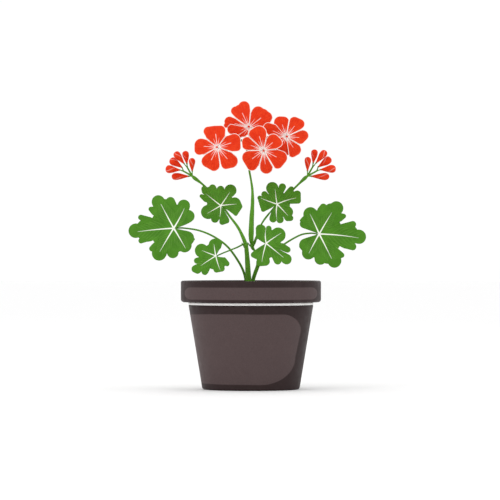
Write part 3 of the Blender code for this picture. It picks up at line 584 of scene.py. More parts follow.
def build_pot():
    top = POT_HEIGHT - RIM_HEIGHT - NECK_HEIGHT
    rim_foot = POT_HEIGHT - RIM_HEIGHT
    neck = BODY_TOP_RADIUS - NECK_DEPTH
    floor_radius = BASE_RADIUS + (BODY_TOP_RADIUS - BASE_RADIUS) * BASE_THICKNESS / top
    shelf = rim_foot + BODY_WALL
    profile = rounded([
        (0, BASE_THICKNESS, 0),
        (floor_radius - BODY_WALL, BASE_THICKNESS, 1.5),
        (neck - BODY_WALL, shelf - 12, 2.0),
        (neck - BODY_WALL, shelf, 1.0),
        (RIM_RADIUS - RIM_WALL, shelf, 1.0),
        (RIM_RADIUS - RIM_WALL, POT_HEIGHT, 1.5),
        (RIM_RADIUS, POT_HEIGHT, RIM_CORNER - 1.2),
        (RIM_RADIUS, rim_foot, RIM_CORNER),
        (neck, rim_foot, 0.3),
        (neck, top, 0.3),
        (BODY_TOP_RADIUS, top, 0.8),
        (BASE_RADIUS, 0, BASE_CORNER),
        (BASE_RADIUS - 5, 0, 0),
        (BASE_RADIUS - 7, 0.6, 0),
        (0, 0.6, 0),
    ])
    pot = turned("pot_shape", split_long(profile))
    cutters = bpy.data.collections.new("drain_cutters")
    for i in range(DRAIN_HOLES):
        angle = math.tau * (i + 0.5) / DRAIN_HOLES
        bm = bmesh.new()
        bmesh.ops.create_cone(bm, cap_ends=True, segments=32, radius1=DRAIN_RADIUS * MM,
                              radius2=DRAIN_RADIUS * MM, depth=CUTTER_DEPTH * MM)
        cutter = bpy.data.objects.new("drain", mesh_of("drain", bm))
        cutter.location = (DRAIN_CIRCLE * MM * math.cos(angle), DRAIN_CIRCLE * MM * math.sin(angle), 0)
        cutters.objects.link(cutter)
    cut = pot.modifiers.new("holes", "BOOLEAN")
    cut.operand_type = "COLLECTION"
    cut.collection = cutters
    mesh = applied(pot, "pot_turned")
    for cutter in list(cutters.objects):
        bpy.data.objects.remove(cutter)
    bpy.data.collections.remove(cutters)
    mesh.set_sharp_from_angle(angle=math.radians(40))
    piece("flower_pot", mesh, "pot", ["pot"])
    ring = rounded([
        (neck - 0.2, rim_foot - 0.1, 0), (BODY_TOP_RADIUS, rim_foot - 0.1, 0.9),
        (BODY_TOP_RADIUS, top + 0.1, 0.9), (neck - 0.2, top + 0.1, 0),
    ], 6)
    mesh = applied(turned("ring_shape", ring, closed=True), "ring_turned")
    piece("pale_neck_ring", mesh, "trim", ["neck_ring"])


def soil_height(x, y):
    r = math.hypot(x, y)
    mound = SOIL_EDGE + (SOIL_MOUND - SOIL_EDGE) * (1 - min(1.0, r / SOIL_RADIUS)) ** 0.8
    lumps = noise.fractal(Vector((x, y, 0)) / 9, 0.8, 2.2, 5) * 0.9
    return mound + lumps + 0.5 * noise.noise(Vector((x, y, 5)) / 3)


def build_soil():
    outer = RIM_RADIUS - RIM_WALL - 0.2
    radii = np.linspace(0.5, outer, 110)
    angles = np.linspace(0, math.tau, 300, endpoint=False)
    flat = [[(r * math.cos(a), r * math.sin(a)) for r in radii] for a in angles]
    points = np.array([[(x, y, soil_height(x, y)) for x, y in row] for row in flat])
    tint = np.array([[0.35 + 0.3 * noise.noise(Vector(p) / 4) for p in row] for row in points])
    mesh = lattice("soil_top", points, {"tint": tint}, wrap=True)
    piece("potting_mix", mesh, "soil", ["potting_soil"])
    dice = random.Random(7)
    bm = bmesh.new()
    tint = bm.verts.layers.float.new("tint")
    for _ in range(CRUMBS):
        r = 8 + (outer - 10) * math.sqrt(dice.random())
        a = dice.uniform(0, math.tau)
        x, y = r * math.cos(a), r * math.sin(a)
        size = dice.uniform(0.5, 1.5)
        made = bmesh.ops.create_icosphere(bm, subdivisions=2, radius=1)["verts"]
        stretch = Vector((dice.uniform(0.7, 1.7), dice.uniform(0.6, 1.1), dice.uniform(0.35, 0.8)))
        yaw = dice.uniform(0, math.tau)
        shade = dice.random()
        seed = Vector((dice.uniform(-50, 50), 0, 0))
        for v in made:
            lump = 1 + 0.35 * noise.noise(v.co * 1.3 + seed)
            q = Vector((v.co.x * stretch.x, v.co.y * stretch.y, v.co.z * stretch.z)) * size * lump
            c, s = math.cos(yaw), math.sin(yaw)
            q = Vector((q.x * c - q.y * s, q.x * s + q.y * c, q.z))
            v.co = (Vector((x, y, soil_height(x, y) + size * 0.15)) + q) * MM
            v[tint] = shade
    mesh = mesh_of("soil_crumbs", bm)
    mesh.shade_smooth()
    piece("bark_and_perlite", mesh, "soil")


# ---- stems


def smooth_line(stations, steps=12):
    """Points (position, width) on a smooth curve through the stations, which are (point, width)."""
    places = [Vector(p) for p, _ in stations]
    widths = [w for _, w in stations]
    last = len(places) - 1
    line = []
    for i in range(last):
        pull_in = (places[i + 1] - places[max(i - 1, 0)]) / 6
        pull_out = (places[min(i + 2, last)] - places[i]) / 6
        here, there = places[i], places[i + 1]
        part = interpolate_bezier(here, here + pull_in, there - pull_out, there, steps + 1)
        for k, point in enumerate(part[:-1]):
            t = k / steps
            t = t * t * (3 - 2 * t)
            line.append((point, widths[i] + (widths[i + 1] - widths[i]) * t))
    line.append((places[last], widths[last]))
    return line


def stations_of(rows):
    """(place, width) pairs from rows of x, y, z and width."""
    return [(row[:3], row[3]) for row in rows]


def tube_mesh(name, stations, steps=12, sides=28, ribs=5, wood=None, seed=0.0):
    """A stem with shallow ribs along it, rounded at both ends."""
    line = smooth_line(stations, steps)
    first, last = line[0], line[-1]
    turns = [k / 5 * math.pi / 2 for k in range(1, 5)]
    ends = [(math.sin(a), math.cos(a)) for a in turns]
    into = (line[1][0] - first[0]).normalized()
    out = (last[0] - line[-2][0]).normalized()
    head = [(first[0] - into * first[1] / 2 * s, first[1] * c) for s, c in ends[::-1]]
    tail = [(last[0] + out * last[1] / 2 * s, last[1] * c) for s, c in ends]
    line = head + line + tail
    points = np.zeros((sides, len(line), 3))
    streak = np.zeros((sides, len(line)))
    woody = np.zeros((sides, len(line)))
    side = into.orthogonal().normalized()
    along = 0.0
    for j, (place, width) in enumerate(line):
        ahead = line[min(j + 1, len(line) - 1)][0] - line[max(j - 1, 0)][0]
        ahead.normalize()
        side = (side - ahead * side.dot(ahead)).normalized()
        other = ahead.cross(side)
        along += (place - line[max(j - 1, 0)][0]).length
        for i in range(sides):
            a = math.tau * i / sides
            rib = math.cos(ribs * a + along * 0.02 + seed)
            lump = noise.noise(Vector((math.cos(a) * 2, math.sin(a) * 2, along * 0.25 + seed * 9)))
            radius = width / 2 * (1 + 0.035 * rib + 0.04 * lump)
            q = place + (side * math.cos(a) + other * math.sin(a)) * radius
            points[i, j] = q
            streak[i, j] = 0.5 + 0.5 * rib
            if wood:
                woody[i, j] = max(0.0, min(1.0, (wood[1] - q.z + 3 * lump) / (wood[1] - wood[0])))
    return lattice(name, points, {"streak": streak, "wood": woody}, wrap=True, caps=True)


def blade_scale(name, root, direction, normal, length, width, curl, cup=0.25, n=9, m=14):
    """A small pointed scale or sepal: a leaf-shaped sheet from root along direction."""
    direction = direction.normalized()
    side = direction.cross(normal).normalized()
    face = side.cross(direction).normalized()
    points = np.zeros((n, m, 3))
    for j in range(m):
        t = j / (m - 1)
        half = width / 2 * (math.sin(math.pi * min(1.0, t * 0.93 + 0.07) ** 0.8)) ** 0.9
        half = max(half, width * 0.012)
        for i in range(n):
            u = 2 * i / (n - 1) - 1
            bend = face * (curl * length * t * t + cup * half * u * u)
            points[i, j] = root + direction * (length * t) + side * (half * u) + bend
    flat = np.full((n, m), 0.3)
    return lattice(name, points, {"streak": flat, "wood": flat * 0})


WOOD_HEIGHTS = (99.0, 112.0)  # the main stem is brown below the first and green above the second
NODES = [  # where a stem swells: place, axis, width
    ((-5.6, -3.3, 153.5), (-0.3, 0.1, 1), 5.4), ((8.2, 4.0, 134.5), (0.2, 0, 1), 5.0),
    ((1.3, 6.2, 152.5), (-0.3, 0, 1), 4.0), ((-2.0, -1.2, 113), (-0.1, 0, 1), 8.2),
]


def build_stems():
    for i, (name, rows) in enumerate(STEMS.items()):
        wood = WOOD_HEIGHTS if name == "main_stem" else None
        sides = 32 if "stem" in name else 24
        mesh = tube_mesh(name + "_tube", stations_of(rows), sides=sides, wood=wood, seed=i * 1.7)
        title = name.replace("petiole_", "leaf_stalk_").replace("right_stem", "flowering_stem")
        piece(title, mesh, "stem", [name])
    scales = []
    for k, (at, axis, width) in enumerate(NODES):
        axis = Vector(axis).normalized()
        ring = [(Vector(at) - axis * 2.6, width * 0.72), (Vector(at) - axis * 1.0, width * 0.98),
                (Vector(at) + axis * 0.4, width * 1.0), (Vector(at) + axis * 2.6, width * 0.72)]
        scales.append(tube_mesh(f"node_{k}", ring, steps=5, sides=24, seed=k))
        for turn in (0.6, 3.6):
            out = Vector((math.cos(turn + k), math.sin(turn + k), 0))
            root = Vector(at) + out * width * 0.42
            scales.append(blade_scale("stipule", root, axis + out * 0.55, out, 4.2, 3.0, -0.15))
    piece("nodes_and_stipules", joined("nodes", scales), "stem")


# ---- leaves


def reach(angle, teeth, grow=0.0):
    """How far a margin of rounded teeth lies from the centre along each of an array of angles."""
    far = np.zeros_like(angle)
    for x, z, radius in teeth:
        radius = radius + grow
        distance = math.hypot(x, z)
        swing = distance * np.sin(angle - math.atan2(z, x))
        along = distance * np.cos(angle - math.atan2(z, x))
        hit = (along > 0) & (np.abs(swing) < radius)
        edge = along + np.sqrt(np.maximum(radius**2 - swing**2, 0))
        far = np.where(hit, np.maximum(far, edge), far)
    return far


def half_width(tooth):
    x, z, radius = tooth
    return math.asin(radius / math.hypot(x, z))


def fill_between(a, b, count=3):
    """Rounds between two, so that the margin runs straight from one to the other."""
    return [tuple(p + (q - p) * k / (count + 1) for p, q in zip(a, b)) for k in range(1, count + 1)]


def leaf_teeth(lobes):
    """All the rounds of a leaf's lobes, with the margin straight from one to the next in a lobe."""
    teeth = []
    for lobe in lobes:
        teeth += lobe
        for a, b in zip(lobe, lobe[1:]):
            teeth += fill_between(a, b)
    return teeth


def leaf_sector(teeth, notch):
    """The angles (low, high) between which a leaf's blade lies, clear of the notch for its stalk."""
    middle = math.radians(notch + 180)
    apart = [(math.atan2(z, x) - middle + math.pi) % math.tau - math.pi for x, z, _ in teeth]
    halves = [half_width(tooth) for tooth in teeth]
    low = min(a - h for a, h in zip(apart, halves))
    return middle + low, middle + max(a + h for a, h in zip(apart, halves))


def even_along(angles, edge, count):
    """Angles spaced evenly along the outline."""
    x, z = edge * np.cos(angles), edge * np.sin(angles)
    run = np.concatenate([[0], np.cumsum(np.hypot(np.diff(x), np.diff(z)))])
    return np.interp(np.linspace(0, run[-1], count), run, angles)


def segment_distance(px, pz, ax, az, bx, bz):
    """How far points (px, pz) lie from the segment between (ax, az) and (bx, bz)."""
    dx, dz = bx - ax, bz - az
    t = np.clip(((px - ax) * dx + (pz - az) * dz) / (dx * dx + dz * dz), 0, 1)
    return np.hypot(px - ax - t * dx, pz - az - t * dz)


def leaf_veins(leaf, low, high):
    """The main veins as (angle, length, bend), with each angle between low and high."""
    veins = []
    for x, z, bend in leaf["veins"]:
        at = math.atan2(z, x)
        at += math.tau * math.floor((low - at) / math.tau + 1) if at < low or at > high else 0
        veins.append((at, math.hypot(x, z), bend))
    return sorted(veins)


def main_vein_masks(veins, angles, r, base_width):
    """Where the blade is vein, and where the veins' ridges raise it, both from 0 to 1."""
    vein, ridge = np.zeros_like(r), np.zeros_like(r)
    for at, length, _ in veins:
        across = r * np.sin(np.clip(angles - at, -1.2, 1.2))[:, None]
        away = np.abs(angles - at)[:, None]
        width = base_width / 2 * np.clip(1 - r / (length * 1.04), 0, 1) ** 0.85
        mask = np.clip((width + 0.12 - np.abs(across)) / 0.24, 0, 1) * (width > 0.03)
        vein = np.maximum(vein, mask * (away < 1.2))
        rise = np.exp(-((across / (width + 0.55)) ** 2)) * np.clip(1 - r / (length * 1.15), 0, 1) ** 0.5
        ridge = np.maximum(ridge, rise * (away < 1.3))
    return vein, ridge


def side_vein_distance(veins, x, z, pairs):
    """How far each point is from the nearest side vein. They leave each main vein in pairs."""
    closest = np.full_like(x, 99.0)
    for at, length, _ in veins:
        for k in range(pairs):
            t = 0.22 + 0.62 * k / (pairs - 1)
            bx, bz = length * t * math.cos(at), length * t * math.sin(at)
            for side in (-1, 1):
                t2 = t + 0.04 * side
                heading = at + side * 0.72
                run = length * (0.20 + 0.34 * (1 - t2))
                ax, az = bx * t2 / t, bz * t2 / t
                mx, mz = ax + run * 0.6 * math.cos(heading), az + run * 0.6 * math.sin(heading)
                ex = mx + run * 0.4 * math.cos(heading - side * 0.25)
                ez = mz + run * 0.4 * math.sin(heading - side * 0.25)
                closest = np.minimum(closest, segment_distance(x, z, ax, az, mx, mz))
                closest = np.minimum(closest, segment_distance(x, z, mx, mz, ex, ez))
    return closest


def build_leaf(name, leaf):
    cx, cy, cz = leaf["centre"]
    slope_x, slope_z = leaf["slope"]
    teeth = leaf_teeth(leaf["lobes"])
    big = leaf["body"] > 20
    spokes, rings, base_width, pairs = (420, 56, 1.5, 6) if big else (320, 44, 1.1, 4)
    start, end = leaf_sector(teeth, leaf["notch"])
    low, high = start + 1e-4, end - 1e-4

    def edge_at(angle):
        edge = np.maximum(reach(angle, teeth), SINUS_RADIUS)
        inside = (angle > low + BODY_INSET) & (angle < high - BODY_INSET)
        return np.where(inside, np.maximum(edge, leaf["body"]), edge) + LEAF_GROWTH

    fine = np.linspace(low, high, 4000)
    veins = leaf_veins(leaf, low, high)
    extra = [v[0] + k * 0.35 / 24 for v in veins for k in (-2, -1, 0, 1, 2)]
    angles = even_along(fine, edge_at(fine), spokes)
    angles = np.unique(np.concatenate([angles, [e for e in extra if low < e < high]]))
    edge = edge_at(angles)
    edge[1:-1] = np.convolve(edge, np.array([0.2, 0.6, 0.2]), "valid")
    s = (np.linspace(0, 1, rings)) ** 0.85
    r = edge[:, None] * s[None, :]
    bends = np.interp(angles, [v[0] for v in veins], [v[2] for v in veins])
    arch = 4 * s * (1 - s)
    theta = angles[:, None] + np.where(r > 1e-6, bends[:, None] * arch[None, :] / np.maximum(r, 1.0), 0)
    x, z = r * np.cos(theta), r * np.sin(theta)

    vein, ridge = main_vein_masks(veins, angles, r, base_width)
    closest = side_vein_distance(veins, x, z, pairs)
    quilt = 1 - np.exp(-((np.minimum(closest, 3.0) / 1.3) ** 2))
    wave = 0.035 * r * np.sin(5 * (theta - start))
    cup = -0.0030 * r * r
    ruffle = 0.5 * np.sin(13 * theta + 1.3) * s[None, :] ** 6
    quilt_share = np.clip((edge[:, None] - r) / 4, 0, 1) * np.clip(r / 6, 0, 1)
    relief = -0.34 * ridge - 0.42 * quilt * quilt_share
    y = slope_x * x + slope_z * z + cup + wave + relief + ruffle
    points = np.stack([cx + x, cy + y, cz + z], -1)
    attributes = {
        "vein": vein,
        "fine": np.exp(-((closest / 0.34) ** 2)),
        "zone": np.exp(-(((r / edge[:, None]) - 0.52) / 0.13) ** 2),
        "edge": np.clip(1 - (edge[:, None] - r) / 0.9, 0, 1),
    }
    mesh = weld(lattice("blade_" + name + "_sheet", points, attributes))
    if sum((f.normal.y * f.area for f in mesh.polygons), 0.0) > 0:
        mesh.flip_normals()
    obj = piece("leaf_" + name, mesh, "leaf", ["blade_" + name], ["leaf", "leaf_back"])
    thicken(obj, LEAF_THICKNESS, back_slot=1)


# ---- flowers


def span(teeth, grow=0.0):
    middle = sum((Vector((x, z)) for x, z, _ in teeth), Vector((0, 0)))
    base = math.atan2(middle.y, middle.x)
    sides = []
    for x, z, radius in teeth:
        turn = (math.atan2(z, x) - base + math.pi) % math.tau - math.pi
        half = half_width((x, z, radius + grow))
        sides += [turn - half, turn + half]
    return base + min(sides), max(sides) - min(sides)


def shoulder(tooth, bound, side, half):
    """A round that fills a petal's side out to the angle bound, nearer the centre than its tooth."""
    distance = math.hypot(tooth[0], tooth[1])
    along = 0.62 * distance
    radius = min(0.34 * distance, along * math.tan(0.8 * half))
    turn = bound - side * math.atan2(radius, along)
    centre = math.hypot(along, radius)
    return centre * math.cos(turn), centre * math.sin(turn), radius


def full_petals(petals, gap, notched):
    """Each petal's rounds, filled in and widened towards its neighbours, and its (start, turn)."""
    spans = [span(teeth) for teeth in petals]
    shapes = []
    for (start, turn), teeth in zip(spans, petals):
        others = [other for other in spans if other != (start, turn)]
        before = min((start - s - t + 0.3) % math.tau - 0.3 for s, t in others)
        after = min((s - start - turn + 0.3) % math.tau - 0.3 for s, t in others)
        low = start - max(0.0, min(before / 2 - gap, MAX_SPREAD))
        high = start + turn + max(0.0, min(after / 2 - gap, MAX_SPREAD))
        middle = start + turn / 2
        ordered = sorted(teeth, key=lambda t: (math.atan2(t[1], t[0]) - middle + math.pi) % math.tau)
        half = (high - low) / 2
        discs = list(ordered)
        if not notched:
            for a, b in zip(ordered, ordered[1:]):
                discs += fill_between(a, b)
        for tooth, bound, side in ((ordered[0], low, -1), (ordered[-1], high, 1)):
            corner = shoulder(tooth, bound, side, half)
            discs += [corner, *fill_between(corner, tooth)]
        shapes.append((discs, low, high - low))
    return shapes


def petal_depth(r, x, z, slope, twist):
    return slope[0] * x + slope[1] * z + THROAT_DEPTH * np.exp(-r / 4) + PETAL_CURL * r * r + twist


PETAL_LINES = ((0.0, 0.58, 0.70), (-0.42, 0.42, 0.46), (0.42, 0.42, 0.46))


def petal_grid(shape, grow, n=61, m=46):
    """A petal's grid round its floret's centre: x, z, r, theta, swing, edge and attributes."""
    teeth, start, turn = shape
    across = np.linspace(0, 1, n)
    swing = np.sin((across - 0.5) * math.pi)
    along = 1 - (1 - np.linspace(0, 1, m)) ** 1.35
    angles = start + turn * (0.5 + 0.4998 * swing)
    edge = reach(angles, teeth, grow)
    taper = CLAW_TAPER + (1 - CLAW_TAPER) * np.minimum(1.0, along / 0.25)
    r = PETAL_FOOT + (edge[:, None] - PETAL_FOOT) * along[None, :]
    theta = start + turn * (0.5 + 0.4998 * swing[:, None] * taper[None, :])
    x, z = r * np.cos(theta), r * np.sin(theta)
    outline_x = np.concatenate([x[0], x[:, -1], x[-1][::-1]])
    outline_z = np.concatenate([z[0], z[:, -1], z[-1][::-1]])
    margin = np.full_like(r, 99.0)
    outline = list(zip(outline_x, outline_z))
    for here, there in zip(outline, outline[1:]):
        if math.dist(here, there) >= 1e-6:
            margin = np.minimum(margin, segment_distance(x, z, *here, *there))
    longest = edge.max()
    half = turn / 2
    sweep = swing[:, None] * taper[None, :]
    white = np.clip((0.62 - margin) / 0.3, 0, 1)
    for offset, length, width in PETAL_LINES:
        apart = np.abs(sweep - offset) * half * r
        wide = width / 2 * np.clip(1 - (r - 2) / (length * longest - 2), 0, 1) ** 0.6
        line = np.clip((wide + 0.10 - apart) / 0.2, 0, 1) * (r < length * longest)
        white = np.maximum(white, line)
    white = np.maximum(white, np.clip((3.1 - r) / 1.0, 0, 1) * 0.95)
    fan = 0.5 + 0.5 * np.cos(sweep * half * 46)
    fan = fan**3 * np.clip((r - 3) / 6, 0, 1) * np.clip((edge[:, None] - r) / 4, 0, 1)
    attributes = {"white": white, "fan": fan, "rim": np.clip(1 - margin / 3, 0, 1)}
    return x, z, r, theta, swing[:, None] * np.ones_like(r), edge, attributes


def build_petal(name, centre, slope, shape, node):
    cx, cy, cz = centre
    x, z, r, theta, swing, edge, attributes = petal_grid(shape, PETAL_GROWTH)
    twist = PETAL_TWIST * r * swing
    seed = hash_of(name)
    outer = np.clip(r / edge[:, None], 0, 1)
    ruffle = 0.35 * np.sin(theta * 17 + seed) * outer**5
    ruffle = ruffle + 0.25 * np.sin(theta * 41 + seed * 2) * outer**9
    dish = 0.012 * (swing * r * 0.5) ** 2
    groove = 0.10 * attributes["fan"]
    y = petal_depth(r, x, z, slope, twist) + ruffle - dish - groove
    points = np.stack([cx + x, cy + y, cz + z], -1)
    obj = piece(name, lattice(name + "_sheet", points, attributes), "petal", [node])
    thicken(obj, PETAL_THICKNESS)


def hash_of(text):
    """A small steady number from a name."""
    return sum(ord(c) * (i + 1) for i, c in enumerate(text)) % 97 / 9.7


def frame_of(facing):
    side = facing.cross(Vector((0, 0, 1))).normalized()
    return side, side.cross(facing).normalized()


def around(count, side, up, first=0.0):
    """Directions spread evenly round, the first of them turned by an angle from side towards up."""
    for k in range(count):
        a = math.tau * k / count + first
        yield side * math.cos(a) + up * math.sin(a)


def pedicel_stations(centre, facing, bow):
    """The flower stalk from the hub to the calyx, whose round end reaches the throat's cup."""
    back = centre - facing * (CALYX_LENGTH + THROAT_DEPTH + 1.2)
    return [
        (HUB, PEDICEL_WIDTH),
        (HUB.lerp(back, 0.5) + Vector(bow), PEDICEL_WIDTH),
        (back, PEDICEL_WIDTH + 0.3),
        (back + facing * CALYX_LENGTH * 0.4, CALYX_WIDTH * 0.7),
        (back + facing * (CALYX_LENGTH - 1.5), CALYX_WIDTH * 0.95),
    ]


def build_throat(name, centre, slope):
    """The pale cup under the petals' feet."""
    spokes, rings = 40, 16
    r = np.linspace(0.05, THROAT_RADIUS, rings)[None, :] * np.ones((spokes, 1))
    theta = np.linspace(0, math.tau, spokes, endpoint=False)[:, None] * np.ones((1, rings))
    x, z = r * np.cos(theta), r * np.sin(theta)
    behind = 0.25 + 0.07 * np.maximum(0, r - 3) + 0.05 * np.cos(theta * 15)
    y = petal_depth(r, x, z, slope, 0.35) + behind
    points = np.stack([centre[0] + x, centre[1] + y, centre[2] + z], -1)
    attributes = {"white": np.ones_like(r), "fan": np.zeros_like(r), "rim": np.zeros_like(r)}
    piece("throat_" + name, lattice("throat", points, attributes, wrap=True), "petal")


def flower_heart(name, centre, facing):
    """Stamens and the five-branched stigma in the throat."""
    side, up = frame_of(facing)
    root = centre - facing * THROAT_DEPTH
    top = root + facing * 4.6
    filaments, anthers = [], []
    for k, out in enumerate(around(STAMENS, side, up, hash_of(name))):
        tip = root + facing * (4.4 + 0.5 * (k % 3)) + out * (0.7 + 0.2 * (k % 2))
        line = [(root + out * 0.3, 0.5), (root + facing * 2.4 + out * 0.5, 0.4), (tip, 0.32)]
        filaments.append(tube_mesh("filament", line, steps=4, sides=8))
        low, high = tip - out * 0.3 - facing * 0.1, tip + out * 0.3 + facing * 0.2
        grain = [(low, 0.5), (tip, 0.85), (high, 0.5)]
        anthers.append(tube_mesh("anther", grain, steps=3, sides=10))
    style = [(root, 1.0), (root + facing * 3.4, 0.8), (top, 0.9)]
    stigma = [tube_mesh("style", style, steps=4, sides=12)]
    for out in around(5, side, up, math.tau / 10):
        up_to = top + facing * 0.9
        lobe = [(top, 0.55), (up_to + out * 0.6, 0.6), (up_to + out * 1.2, 0.35)]
        stigma.append(tube_mesh("lobe", lobe, steps=3, sides=8))
    piece("stamens_" + name, joined("filaments", filaments), "petal", looks=["filament"])
    piece("anthers_" + name, joined("anthers", anthers), "petal", looks=["anther"])
    piece("stigma_" + name, joined("stigma", stigma), "petal", looks=["stigma"])


def build_calyx(name, centre, facing, bow, nodes=()):
    """A flower stalk and the five sepals behind its floret."""
    side, up = frame_of(facing)
    meshes = [tube_mesh("pedicel", pedicel_stations(centre, facing, bow), steps=10, sides=20)]
    root = centre - facing * (THROAT_DEPTH + 1.8)
    for out in around(5, side, up, math.tau / 10 + 0.3):
        place, along = root + out * 1.5, out - facing * 0.25
        meshes.append(blade_scale("sepal", place, along, facing, 7.5, 3.0, -0.10, 0.3))
    piece("flower_stalk_" + name, joined("calyx", meshes), "stem", nodes)


def build_floret(name, floret):
    place, slope = floret["centre"], floret["slope"]
    centre = Vector(place)
    facing = Vector((slope[0], -1, slope[1])).normalized()
    shapes = full_petals(floret["petals"], PETAL_GAP, name in NOTCHED)
    for i, shape in enumerate(shapes, start=1):
        build_petal(f"floret_{name}_petal_{i}", place, slope, shape, f"petal_{name}_{i}")
    build_throat(name, place, slope)
    build_calyx(name, centre, facing, floret["bow"], ["pedicel_" + name])
    flower_heart(name, centre, facing)


def build_back_floret(name, spec):
    centre = Vector(spec["centre"])
    turn = math.radians(spec["turn"])
    facing = Vector((-math.sin(turn), math.cos(turn), 0.25)).normalized()
    side, up = frame_of(facing)
    sheets = []
    for i in range(BACK_PETALS):
        angle = math.tau * (i + 0.25) / BACK_PETALS
        reach_x, reach_z = BACK_PETAL_REACH * math.cos(angle), BACK_PETAL_REACH * math.sin(angle)
        teeth = [(reach_x, reach_z, BACK_PETAL_ROUND)]
        shape = (teeth, *span(teeth, BACK_PETAL_GROWTH))
        x, z, r, theta, swing, edge, attributes = petal_grid(shape, BACK_PETAL_GROWTH, n=41, m=34)
        depth = THROAT_DEPTH * np.exp(-r / 4) + PETAL_CURL * r * r + PETAL_TWIST * r * swing
        depth = depth + 0.25 * np.sin(theta * 15 + i) * (r / edge[:, None]) ** 5
        axis = np.array([side, up, facing])
        flat = np.array(centre) + x[..., None] * axis[0] + z[..., None] * axis[1]
        sheets.append(lattice("back_petal", flat - depth[..., None] * axis[2], attributes))
    obj = piece(name + "_petals", joined("back_petals", sheets), "petal", [name])
    thicken(obj, PETAL_THICKNESS)
    build_calyx(name, centre, facing, spec["bow"])
    flower_heart(name, centre, facing)


# ---- buds


def bud_width(t):
    """A bud's width along it, from its foot at 0 to its tip at 1."""
    return 1.72 * t * np.sqrt(np.maximum(0.0, 1 - t**4)) + 0.10 * (1 - t) ** 2


def bud_mesh(foot, tip, width, seed):
    """A furled bud: petals wound round each other, from a pointed foot to a round tip."""
    length = (tip - foot).length
    axis = (tip - foot).normalized()
    side = axis.orthogonal().normalized()
    other = axis.cross(side)
    n, m = 48, 52
    t = 0.5 - 0.5 * np.cos(np.linspace(0.02, 0.998, m) * math.pi)
    a = np.linspace(0, math.tau, n, endpoint=False)
    wind = (a[:, None] * 3 / math.tau + t[None, :] * 1.15 + seed) % 1.0
    lap = wind**2
    swell = 0.97 + 0.07 * lap * np.clip(t * 3 - 0.5, 0, 1)[None, :]
    radius = bud_width(t)[None, :] * width / 2 * swell
    seam = np.clip((0.05 - np.minimum(wind, 1 - wind)) / 0.05, 0, 1)
    white = seam * np.clip(t * 4 - 1.2, 0, 1)[None, :] * 0.55
    place = np.array(foot)[None, None] + (t * length)[None, :, None] * np.array(axis)
    spoke = np.cos(a)[:, None, None] * np.array(side) + np.sin(a)[:, None, None] * np.array(other)
    fan = (0.5 + 0.5 * np.cos(a * 18)[:, None] * np.ones((1, m))) * 0.6
    attributes = {"white": white, "fan": fan, "rim": lap * 0.4}
    return lattice("bud", place + radius[..., None] * spoke, attributes, wrap=True, caps=True)


def build_truss(side):
    def place(x, y, z):
        """A point of the left truss, on this side."""
        if side == "left":
            return Vector((x, y, z))
        point = TRUSS_FORK + (Vector((x, y, z)) - TRUSS_FORK) * RIGHT_TRUSS_SCALE
        return Vector((2 * MIRROR_PLANE - point.x, point.y, point.z))

    fork = place(*TRUSS_FORK)
    green = [tube_mesh("stalk", stations_of(BUD_STALKS[side]) + [(fork, 2.4)], sides=24)]
    for arm in TRUSS_ARMS:
        green.append(tube_mesh("arm", [(fork, 2.0), (place(*arm), 1.8)], steps=6, sides=16))
    for i, (foot, tip, width, foot_y, tip_y) in enumerate(BUDS, start=1):
        foot_at = place(foot[0], TRUSS_FORK.y + foot_y, foot[1])
        tip_at = place(tip[0], TRUSS_FORK.y + tip_y, tip[1])
        mesh = bud_mesh(foot_at, tip_at, width, i * 0.37)
        piece(f"{side}_truss_bud_{i}", mesh, "petal", [f"bud_{side}_{i}"])
        elbow = fork if i in (1, 6) else place(*TRUSS_ARMS[(i - 2) // 2])
        axis = (tip_at - foot_at).normalized()
        green.append(tube_mesh("twig", [(elbow, 1.5), (foot_at + axis * 0.5, 0.95)], steps=6, sides=14))
        across = axis.orthogonal().normalized()
        for out in around(5, across, axis.cross(across)):
            root = foot_at + out * 0.3 - axis * 0.3
            green.append(blade_scale("sepal", root, axis + out * 0.30, out, 2.3, 1.0, 0.02))
    piece(f"{side}_truss_stalks", joined("truss", green), "stem", ["bud_stalk_" + side])


def build_hub():
    """The swollen top of the flower stalk with its ring of bracts."""
    below, above = Vector((0.1, 0.6, 3.0)), Vector((0, 0.4, 1.4))
    knob = [(HUB - below, 2.6), (HUB - Vector((0, 0.2, 1.0)), 4.4), (HUB + above, 3.4)]
    meshes = [tube_mesh("knob", knob, steps=6, sides=28)]
    up = Vector((0, 0, 1))
    for out in around(BRACTS, Vector((1, 0, 0)), Vector((0, 1, 0))):
        root = HUB + out * 1.6 - up * 0.8
        meshes.append(blade_scale("bract", root, out + up * 0.3, up, 3.6, 2.4, -0.2))
    piece("head_bracts", joined("hub", meshes), "stem")


# ---- stage

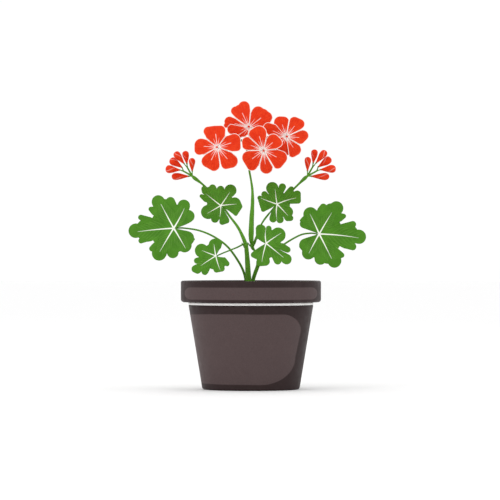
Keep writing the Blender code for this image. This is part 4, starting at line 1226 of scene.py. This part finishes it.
SENSOR_WIDTH = 36
VIEW_DISTANCE, VIEW_WIDTH, VIEW_X, VIEW_Z = 4.0, 0.535, -0.001, 0.1488  # in metres
LAMPS = {  # place, target, size and power
    "key": ((-1.6, -2.2, 2.2), (0, 0, 0.16), 1.2, 12),
    "rim": ((0.6, 2.4, 1.8), (0, 0, 0.2), 1.2, 5),
}
FLOOR_RADIUS, FLOOR_DROP, SKY_STRENGTH = 14, 0.0002, 1.02


def lamp(name, place, target, size, power):
    data = bpy.data.lights.new(name, "AREA")
    data.shape = "DISK"
    data.size = size
    data.energy = power
    obj = added(name, data)
    obj.location = place
    obj.rotation_euler = (Vector(target) - Vector(place)).to_track_quat("-Z", "Y").to_euler()


def build_stage():
    bm = bmesh.new()
    bmesh.ops.create_circle(bm, cap_ends=True, segments=96, radius=FLOOR_RADIUS)
    mesh = mesh_of("floor", bm)
    floor = added("floor", mesh)
    floor.location = (0, 0, -FLOOR_DROP)
    p = Paint("floor_white", roughness=0.9)
    p.colour((0.97, 0.97, 0.97, 1))
    mesh.materials.append(p.material)
    world = bpy.data.worlds.new("studio")
    world.use_nodes = True
    sky = world.node_tree.nodes["Background"]
    sky.inputs["Color"].default_value = (1, 1, 1, 1)
    sky.inputs["Strength"].default_value = SKY_STRENGTH
    bpy.context.scene.world = world
    for name, spec in LAMPS.items():
        lamp(name, *spec)
    bpy.context.scene.view_settings.view_transform = "Standard"


def build_camera():
    data = bpy.data.cameras.new("camera")
    cam = added("camera", data)
    data.sensor_width = SENSOR_WIDTH
    data.lens = SENSOR_WIDTH * VIEW_DISTANCE / VIEW_WIDTH
    data.clip_end = 100
    cam.location = (VIEW_X, -VIEW_DISTANCE, VIEW_Z)
    cam.rotation_euler = (math.pi / 2, 0, 0)
    bpy.context.scene.camera = cam


def main():
    build_pot()
    build_soil()
    build_stems()
    for name, leaf in LEAVES.items():
        build_leaf(name, leaf)
    for name, floret in FLORETS.items():
        build_floret(name, floret)
    for name, spec in BACK_FLORETS.items():
        build_back_floret(name, spec)
    build_hub()
    build_truss("left")
    build_truss("right")
    build_stage()
    build_camera()


main()
